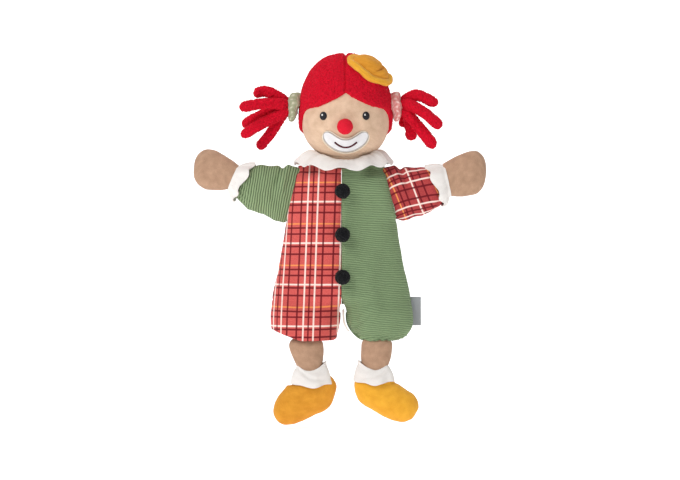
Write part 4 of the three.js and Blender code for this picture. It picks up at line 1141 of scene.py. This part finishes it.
def strip_of_terry(name, side, tie, turns, bend, tip, seed):
    """A rolled strip from inside the hair tie to its round tip."""
    turn = turns * 2 * math.pi
    root = np.array([tie[0] + side, -3.0 * math.sin(turn), tie[2] + 3.0 * math.cos(turn)])
    out = np.array([tie[0] + side * 9, -5.5 * math.sin(turn), tie[2] + 7.5 * math.cos(turn)])
    t = np.linspace(0, 1, 110)
    path = through([0, 0.25, 0.62, 1], [root, out, bend, tip], t)
    path[:, 1] += 0.9 * np.sin(9 * t + seed)
    along = np.gradient(path, axis=0)
    along /= np.linalg.norm(along, axis=1)[:, None]
    flat = np.cross(along, (0, 1, 0))
    flat /= np.linalg.norm(flat, axis=1)[:, None]
    deep = np.cross(along, flat)
    spin = 0.5 * np.sin(4 * t + seed)[:, None]
    flat, deep = np.cos(spin) * flat + np.sin(spin) * deep, np.cos(spin) * deep - np.sin(spin) * flat
    around = np.linspace(0, 2 * math.pi, 62, endpoint=False)[None, :, None]
    close = np.sqrt(np.clip(1 - np.clip((t - 0.86) / 0.145, 0, 1) ** 2.4, 0, 1))
    size = ((3.3 + (2.1 if side < 0 else 2.4) * smooth(t, 0, 0.32)) * close)[:, None, None]
    grid = path[:, None] + size * (np.cos(around) * flat[:, None] + 0.68 * np.sin(around) * deep[:, None])
    curl = np.abs(noise(grid, 2.5, 700 + seed))
    bumps = 0.7 * (0.5 - 2.0 * curl) + 0.4 * noise(grid, 1.3, 720 + seed)
    grid = pushed(grid, bumps * np.sqrt(close)[:, None], around=True)
    return from_grid(name, grid, TERRY, around=True, ends=(True, True))


for side, sign in (("right", -1), ("left", 1)):
    for number, ((bend, tip), turns) in enumerate(zip(STRIPS[side], ROOT_TURNS[side]), 1):
        strip = strip_of_terry(f"{side}_terry_strip_{number}", sign, TIES[side], turns, bend, tip, number)
        dress(strip, "red_terry", f"{side}_strand_{number}")
        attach(strip, f"{side}_pigtail")


# %% [markdown]
# ## Sleeves, cuffs and mitts
# An arm is a row of stations. Each station is the top and the bottom point of the outline as seen from the
# front, and how deep the arm is there. A curve through the stations gives the tube, and wrinkles are pushed
# into it along its normals.


# %% A tube through stations
def station_tube(stations, rows, columns, middle_y=0.0, flat=2.0):
    """Stations are (top x, top z, bottom x, bottom z, half depth). flat above 2 gives fuller sides."""
    stations = np.asarray(stations, float)
    at = through(np.arange(len(stations)), stations, np.linspace(0, len(stations) - 1, rows))
    top, bottom, depth = at[:, :2], at[:, 2:4], at[:, 4]
    turn = np.linspace(0, 2 * math.pi, columns, endpoint=False)
    rise = np.sign(np.cos(turn)) * np.abs(np.cos(turn)) ** (2 / flat)
    front = np.sign(np.sin(turn)) * np.abs(np.sin(turn)) ** (2 / flat)
    middle, half = (top + bottom) / 2, (top - bottom) / 2
    xz = middle[:, None] + half[:, None] * rise[None, :, None]
    y = middle_y - np.maximum(depth, 0)[:, None] * front[None, :]
    return np.stack([xz[..., 0], y, xz[..., 1]], -1)


# %% Sleeves
SLEEVES = {
    "right": [(-38, 130.5, -49, 82, 8.6), (-44.5, 133.2, -56, 79, 10.6), (-58, 133.8, -66, 81.5, 13.2),
              (-72, 134, -79, 87, 13.6), (-84, 133.4, -91, 93.5, 12.8), (-93, 131, -103, 106, 10.6)],
    "left": [(38, 130.5, 49, 83, 8.6), (44.5, 133.2, 56, 80, 10.6), (58, 133, 66, 82.5, 13.2),
             (71, 132.4, 79, 87.5, 13.6), (82, 132, 91, 93.5, 12.8), (92, 130.6, 100.5, 103, 10.6)],
}


def sleeve(side, sign, material):
    """A sleeve whose base is tucked inside the armhole."""
    grid = station_tube(SLEEVES[side], 150, 200, flat=2.1)
    cloth = cloth_map(grid, around=True)
    out = sign * grid[..., 0]
    z = grid[..., 2]
    pull = noise(grid @ np.array([[0.9, 0, -0.42 * sign], [0, 1, 0], [0.42 * sign, 0, 0.9]]), (11, 30, 30),
                 801 if sign < 0 else 822)
    depth = 1.7 * pull + 0.8 * noise(grid, (8, 20, 13), 803) + 0.2 * noise(grid, 4.5, 804)
    fold_line = out - 52 - 0.32 * (128 - z)
    depth += 2.2 * np.exp(-(fold_line / 3.2) ** 2) * smooth(z, 104, 122) - 2.0 * np.exp(
        -((fold_line - 6.5) / 2.6) ** 2) * smooth(z, 100, 120)
    ripple = np.sin(np.linspace(0, 2 * math.pi, 200, endpoint=False) * 17)[None, :]
    depth = depth * smooth(out, 43, 56) + 0.6 * ripple * smooth(out, 80, 97)
    grid = pushed(grid, np.clip(depth, -3.0, 2.6) - 0.4, around=True)
    return thicken(from_grid(f"{side}_sleeve_cloth", grid, material, around=True, cloth=cloth), 1.0)


sleeves = {"right": sleeve("right", -1, GREEN_SLEEVE), "left": sleeve("left", 1, SHADED_PLAID_SLEEVE)}

# %% [markdown]
# The cuff is a frill like the collar: gathered at the wrist, with its wavy free edge turned back over the
# sleeve. Its narrow end hides where the mitt is sewn in.

# %% Cuffs
CUFFS = {
    "right": [(-83.4, 136.2, -103.4, 99.4, 15.4), (-88, 136.2, -104.8, 100.2, 14.8),
              (-93.4, 135.4, -106.6, 102.8, 13.2), (-97, 134, -108.2, 108, 10.8),
              (-99.4, 133.6, -109.6, 110, 10.2)],
    "left": [(80.6, 133.8, 97.4, 94.8, 15.4), (86, 134.8, 99.6, 95, 14.8), (92, 135.2, 102, 97.4, 13.2),
             (96.2, 134.6, 103.8, 102.8, 10.8), (98.6, 135, 105.6, 104, 10.2)],
}


def cuff(side, sign):
    """The wavy frill round a wrist."""
    rows, columns = 60, 330
    grid = station_tube(CUFFS[side], rows, columns)
    free = 1 - np.linspace(0, 1, rows)[:, None]
    turn = np.linspace(0, 2 * math.pi, columns, endpoint=False)[None, :]
    wave = np.sin(7 * turn + 0.7 * np.sin(2 * turn))
    fine = np.sin(19 * turn + 1.5 * np.sin(3 * turn))
    depth = 1.2 * wave * free**1.3 + 0.2 * fine * np.sin(math.pi * free) + 0.3 * noise(grid, 7, 831)
    grid = pushed(grid, depth, around=True)
    grid[..., 0] += sign * (1.7 * np.cos(7 * turn + 0.7 * np.sin(2 * turn)) * free**2)
    return thicken(from_grid(f"{side}_cuff_cloth", grid, WHITE, around=True), 1.3)


cuffs = {"right": cuff("right", -1), "left": cuff("left", 1)}

# %% [markdown]
# The mitts and the shoes are padded: two layers sewn together at the edge and filled. Here the computer does
# what the stuffing does. The seam is pinned, air pressure swells the two layers, and the cloth pulls into
# small wrinkles beside the seam. The swelling is capped, so that the piece stays the measured size.


# %% Stuffing by cloth simulation
def stuff(piece, pinned, pressure=4.0, cap=1.6, steps=14, tight=0.0):
    """Swells a mesh whose points number `pinned` (0 to 1 each) hold still. Works in the piece's own mesh."""
    group = piece.vertex_groups.new(name="seam")
    for weight in (1.0, 0.5):
        chosen = [i for i, w in enumerate(pinned) if abs(w - weight) < 0.25]
        group.add(chosen, weight, "REPLACE")
    start = np.array([v.co for v in piece.data.vertices], float)
    cloth = piece.modifiers.new("stuffing", "CLOTH")
    cloth.settings.quality = 5
    cloth.settings.mass = 0.2
    cloth.settings.tension_stiffness = cloth.settings.compression_stiffness = 12
    cloth.settings.shear_stiffness = 4
    cloth.settings.bending_stiffness = 0.3
    cloth.settings.shrink_min = -tight
    cloth.settings.use_pressure = True
    cloth.settings.uniform_pressure_force = pressure
    cloth.settings.vertex_group_mass = "seam"
    cloth.settings.effector_weights.gravity = 0
    cloth.collision_settings.use_collision = False
    cloth.point_cache.frame_end = steps
    scene = bpy.context.scene
    for frame_number in range(1, steps + 1):
        scene.frame_set(frame_number)
    shaped = piece.evaluated_get(bpy.context.evaluated_depsgraph_get())
    end = np.array([v.co for v in shaped.data.vertices], float)
    piece.modifiers.clear()
    scene.frame_set(1)
    move = end - start
    long = np.linalg.norm(move, axis=1, keepdims=True)
    move *= np.minimum(1, cap * MM / np.maximum(long, 1e-9))
    piece.data.vertices.foreach_set("co", (start + move).astype(np.float32).ravel())
    piece.data.update()
    print(f"{piece.name}: swelled by up to {np.linalg.norm(move, axis=1).max() / MM:.1f} mm")
    return piece


def smoother(piece):
    """One level of subdivision, made real."""
    piece.modifiers.new("finer", "SUBSURF").levels = 1
    return bake_modifiers(piece)


def seam_share(rows, columns, extra=0):
    """1 at the two side seams of a station tube, in the order of its points."""
    turn = np.linspace(0, 2 * math.pi, columns, endpoint=False)
    near = np.exp(-((np.sin(turn) / 0.09) ** 2))
    share = np.tile(near, (rows, 1))
    share[0] = 1.0
    return np.concatenate([share.ravel(), np.ones(extra)])


# %% Mitts
MITTS = {
    "right": [(-96.6, 132.4, -106.6, 111, 8.6), (-99.6, 134.8, -110, 110.8, 9.2),
              (-104.5, 138.6, -114.5, 110.2, 9.6), (-113, 144.2, -122, 110, 10.0),
              (-122, 148.8, -131, 111.2, 9.8), (-130.8, 149.2, -137.6, 115.4, 8.6),
              (-137.4, 145.4, -141.4, 121.6, 6.2), (-140.8, 139.4, -142.2, 128, 3.2)],
    "left": [(95.6, 133.6, 102.6, 105, 8.6), (98.6, 136.4, 105.8, 104.2, 9.2),
             (104.5, 139.8, 111, 104, 9.6), (113, 144, 118.5, 104.2, 10.0),
             (122, 147.4, 126.5, 105.6, 9.8), (130.8, 147.6, 132.6, 108.6, 8.6),
             (136.6, 142, 137.2, 116, 6.2), (139, 135, 139.1, 123.8, 3.2)],
}


def mitt(side):
    """A hand: two layers of velour sewn round the edge."""
    rows, columns = 44, 64
    grid = station_tube(MITTS[side], rows, columns)
    # The mitt takes the darker copy of the skin velour: painted shade.
    made = from_grid(f"{side}_mitt_velour", grid, SKIN_PAINTED_SHADE, around=True, ends=(False, True))
    stuff(made, seam_share(rows, columns, 1), cap=1.4)
    return smoother(made)


mitts = {"right": mitt("right"), "left": mitt("left")}


def dent_seam(piece, middle_y, depth=0.5, width=0.9):
    """Pulls a padded piece in beside its edge seam and lifts a fine ridge on the seam itself."""
    points = np.array([v.co for v in piece.data.vertices], float) / MM
    facing = np.array([v.normal for v in piece.data.vertices], float)
    away = np.abs(points[:, 1] - middle_y)
    edge = np.abs(facing[:, 1]) < 0.75
    push = valley(away - 1.3, depth, width) * edge + 0.25 * noise(points, (7, 30, 7), 841)
    moved = points + facing * push[:, None]
    piece.data.vertices.foreach_set("co", (moved * MM).astype(np.float32).ravel())
    piece.data.update()


for side in ("right", "left"):
    dent_seam(mitts[side], 0.0)

# %% [markdown]
# ## Legs and shoes
# The legs are stuffed tubes that hang from the trouser ends, with a frill at the ankle and padded shoes that
# point out to the sides. A seam runs round the edge of each shoe.

# %% Legs
LEG_ENDS = {"right": (-33.6, -30.0), "left": (33.7, 31.8)}
HIP_Z = -39.0


def leg(side):
    """A stuffed leg: a half-round top, a slight calf and a narrower ankle."""
    hip, ankle = LEG_ENDS[side]
    low, high = box_mm(f"{side}_leg_skin")
    rows, columns = 40, 48
    down = np.linspace(0, 1, rows)
    z = high[2] - 0.4 + (low[2] - 3 - high[2]) * down
    x = np.interp(z, [low[2], HIP_Z], [ankle, hip])
    over = np.clip((z - HIP_Z) / 8.6, 0, 0.995)
    top_wide = 16.2 if side == "right" else 14.8
    places = [0, 0.35, 0.6, 0.8, 1]
    wide = through(places, [top_wide, top_wide, 14.2, 12.4, 11.4], down) * (1 - 0.35 * over**3)
    deep = through(places, [8.6, 8.8, 9.6, 9.2, 8.2], down) * np.sqrt(1 - over**2)
    stations = np.stack([x - wide, z, x + wide, z, np.maximum(deep, 0.8)], -1)
    grid = station_tube(stations, rows, columns, LEG_MIDDLE_Y)
    # The leg takes the darker copy of the skin velour: painted shade.
    made = from_grid(f"{side}_leg_velour", grid, SKIN_PAINTED_SHADE, around=True, ends=(True, False))
    pins = seam_share(rows, columns, 1)
    pins[-columns - 1:-1] = 1
    stuff(made, pins, cap=0.7)
    return smoother(made)


legs = {side: leg(side) for side in ("right", "left")}

# %% Ankle frills
FRILLS = {
    "right": [(-30.4, -59.6, 12.2, 9.4), (-30.2, -61.6, 13.4, 10.6), (-29.6, -66, 16.4, 13.2),
              (-28.8, -70.5, 18.4, 14.6), (-28.2, -75, 19.4, 15.4)],
    "left": [(31.9, -58.8, 12.2, 9.4), (31.9, -60.6, 13.6, 10.6), (31.7, -64.6, 16.6, 13.2),
             (31.4, -68.6, 18.4, 14.6), (31.2, -72.4, 19.4, 15.4)],
}


def ankle_frill(side):
    """A frill that hangs over the top of the shoe. Its turned-back top stands up on the inner side."""
    rows, columns = 60, 330
    stations = np.array([(x - wide, z, x + wide, z, deep) for x, z, wide, deep in FRILLS[side]])
    grid = station_tube(stations, rows, columns, LEG_MIDDLE_Y)
    free = np.linspace(0, 1, rows)[:, None]
    turn = np.linspace(0, 2 * math.pi, columns, endpoint=False)[None, :]
    inner = -np.cos(turn) * (1 if side == "right" else -1)
    front = np.clip(np.sin(turn), 0, 1) ** 2
    wave = np.sin(5 * turn + 0.9 * np.sin(2 * turn + 1))
    slant = np.exp(-((free - 0.5 - 0.3 * inner) / 0.13) ** 2) * front
    depth = 1.0 * wave * free**1.2 - 1.3 * slant + 0.5 * noise(grid, (7, 9, 5), 852)
    grid = pushed(grid, depth, around=True)
    stand = np.clip(inner, 0, 1) ** 2 * (1 - free) ** 1.4
    grid[..., 0] += (4.5 if side == "right" else -4.5) * stand
    grid[..., 2] += 5.5 * stand + 2.0 * np.clip(-inner, 0, 1) ** 2 * (1 - free)
    grid[..., 2] += 1.4 - 3.4 * front + 0.8 * np.cos(5 * turn + 1.3) * free**2 + 0.4 * noise(grid, 7, 851)
    return thicken(from_grid(f"{side}_ankle_cloth", grid, WHITE, around=True), 1.2)


frills = {side: ankle_frill(side) for side in ("right", "left")}

# %% Shoes
SHOES = {  # x and z of the middle, x and z of the direction towards the toe, half width, half depth
    "right": [(-27.2, -66.4, 0, -1, 16.8, 7.6), (-26.6, -70.8, 0, -1, 19.8, 9.6),
              (-25.8, -77, -0.08, -0.99, 21.4, 11), (-31.3, -86.3, -0.45, -0.89, 22.8, 12),
              (-40, -92, -0.66, -0.75, 19.2, 12.4),
              (-48.6, -97.8, -0.76, -0.64, 16.7, 12.4), (-54.8, -102.4, -0.8, -0.6, 13.8, 11.2),
              (-59.6, -106, -0.82, -0.57, 9.6, 8.4), (-62.2, -108, -0.82, -0.57, 5, 4.8)],
    "left": [(31.6, -66.6, 0, -1, 15, 7.6), (31.4, -70, 0.02, -1, 18.4, 9.6),
             (31.6, -75.6, 0.12, -0.99, 19.8, 11), (35.6, -83, 0.4, -0.92, 20.6, 12),
             (44.6, -89, 0.66, -0.75, 18, 12.4),
             (53, -94, 0.8, -0.6, 16.8, 12.4), (60.6, -97.6, 0.84, -0.54, 15.4, 11.2),
             (66.8, -101.2, 0.84, -0.54, 11.8, 8.4), (70.4, -103.2, 0.84, -0.54, 6.4, 4.8)],
}
# The right shoe takes the darker copy of the velour: painted shade.
SHOE_CLOTH = {"right": MUSTARD_PAINTED_SHADE, "left": MUSTARD}


def shoe(side):
    """A padded shoe with a seam round its edge."""
    rows, columns = 52, 56
    stations = []
    for x, z, to_x, to_z, half, deep in SHOES[side]:
        across = np.array([-to_z, to_x]) / math.hypot(to_x, to_z) * half
        stations.append((x + across[0], z + across[1], x - across[0], z - across[1], deep))
    grid = station_tube(stations, rows, columns, LEG_MIDDLE_Y)
    made = from_grid(f"{side}_shoe_velour", grid, SHOE_CLOTH[side], around=True, ends=(True, True))
    stuff(made, seam_share(rows, columns, 2), cap=1.3)
    made = smoother(made)
    dent_seam(made, LEG_MIDDLE_Y, 0.8, 1.1)
    return made


shoes = {side: shoe(side) for side in ("right", "left")}

# %% [markdown]
# ## How the limbs are finished
# The sleeves, cuffs, mitts, legs, ankle frills and shoes take the place of their CAD nodes. The body panels,
# sleeves, cuffs, mitts, legs, frills and collar keep their place in the world, baked into their meshes, and
# each shoe rides on its foot.

# %% Finishing the limbs
for side, sign in (("right", -1), ("left", 1)):
    sleeve_slot = "green_rib" if side == "right" else "plaid_cotton"
    dress(sleeves[side], sleeve_slot, f"{side}_sleeve")
    dress(cuffs[side], "white_jersey", f"{side}_cuff_frill")
    dress(mitts[side], "skin_velour", f"{side}_mitt")
    dress(legs[side], "skin_velour", f"{side}_leg_skin", f"{side}_leg_stuffing")
    dress(frills[side], "white_jersey", f"{side}_ankle_frill")
    dress(shoes[side], "mustard_velour", f"{side}_shoe", f"{side}_shoe_stuffing")
    for panel in (fronts[side], backs[side]):
        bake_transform(panel)
    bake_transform(sleeves[side])
    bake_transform(cuffs[side])
    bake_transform(mitts[side])
    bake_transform(legs[side])
    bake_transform(frills[side])
    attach(shoes[side], f"{side}_foot")
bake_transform(collar_cloth)

# %% [markdown]
# ## What stays from the measured model
# The finger tube and the two stay tapes have the right shape already, so they keep it and only get a cloth
# finish. Their cloth place is their own place in millimetres.

# %% Finishes on measured parts
def map_by_place(node, across, along):
    """Gives a measured part a cloth map from two of its own directions. The mesh stays as it is."""
    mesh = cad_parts[node].data
    layer = mesh.uv_layers.get("cloth") or mesh.uv_layers.new(name="cloth")
    places = [(mesh.vertices[loop.vertex_index].co[across], mesh.vertices[loop.vertex_index].co[along])
              for loop in mesh.loops]
    layer.data.foreach_set("uv", np.array(places, np.float32).ravel())
    layer.active_render = True
    layer.active = True


for node, finish in (("neck_tube", FINGER_TUBE), ("right_armhole_tape", TAPE), ("left_armhole_tape", TAPE)):
    map_by_place(node, 1, 2)
    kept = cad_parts[node].data
    kept.materials.clear()
    kept.materials.append(finish)
    print("kept:", node)

# %% [markdown]
# ## Floor
# The floor runs back and curves up into a wall in one sheet, pale and matt, so that nothing shows but a soft
# shadow. It glows a little, as paper does under strong studio light.

# %% Floor and backdrop
FLOOR_Z = min(cad_low.z / MM, -116.0) - 1.5
FRONT_Y, BEND_Y, BEND_RADIUS, HALF_WIDTH = -2600, 900, 800, 3000
BEND_START, BEND_END = 0.45, 0.7  # shares of the sheet's length
s = np.linspace(0, 1, 60)[:, None]
bend = np.clip((s - BEND_START) / (BEND_END - BEND_START), 0, 1) * math.pi / 2
flat_part = np.interp(s, [0, BEND_START], [FRONT_Y, BEND_Y])
depth_line = np.where(s > BEND_START, BEND_Y + BEND_RADIUS * np.sin(bend), flat_part)
height_line = FLOOR_Z + BEND_RADIUS * (1 - np.cos(bend)) + np.clip(s - BEND_END, 0, 1) * 9000
width_line = np.linspace(-HALF_WIDTH, HALF_WIDTH, 40)[None, :]
sweep = np.stack([width_line + 0 * s, depth_line + 0 * width_line, height_line + 0 * width_line], -1)
paper = bpy.data.materials.new("backdrop paper")
paper.use_nodes = True
grain = add(paper.node_tree, "ShaderNodeTexNoise", {"Scale": 6.0, "Detail": 4.0}).outputs[0]
paper_shader = paper.node_tree.nodes["Principled BSDF"]
paper.node_tree.links.new(blend_colours(paper.node_tree, grain, colour(250, 250, 250), colour(253, 253, 253)),
                          paper_shader.inputs["Base Color"])
paper_shader.inputs["Roughness"].default_value = 0.95
paper_shader.inputs["Emission Color"].default_value = (1, 1, 1, 1)
paper_shader.inputs["Emission Strength"].default_value = 0.5
backdrop = from_grid("backdrop", sweep, paper)
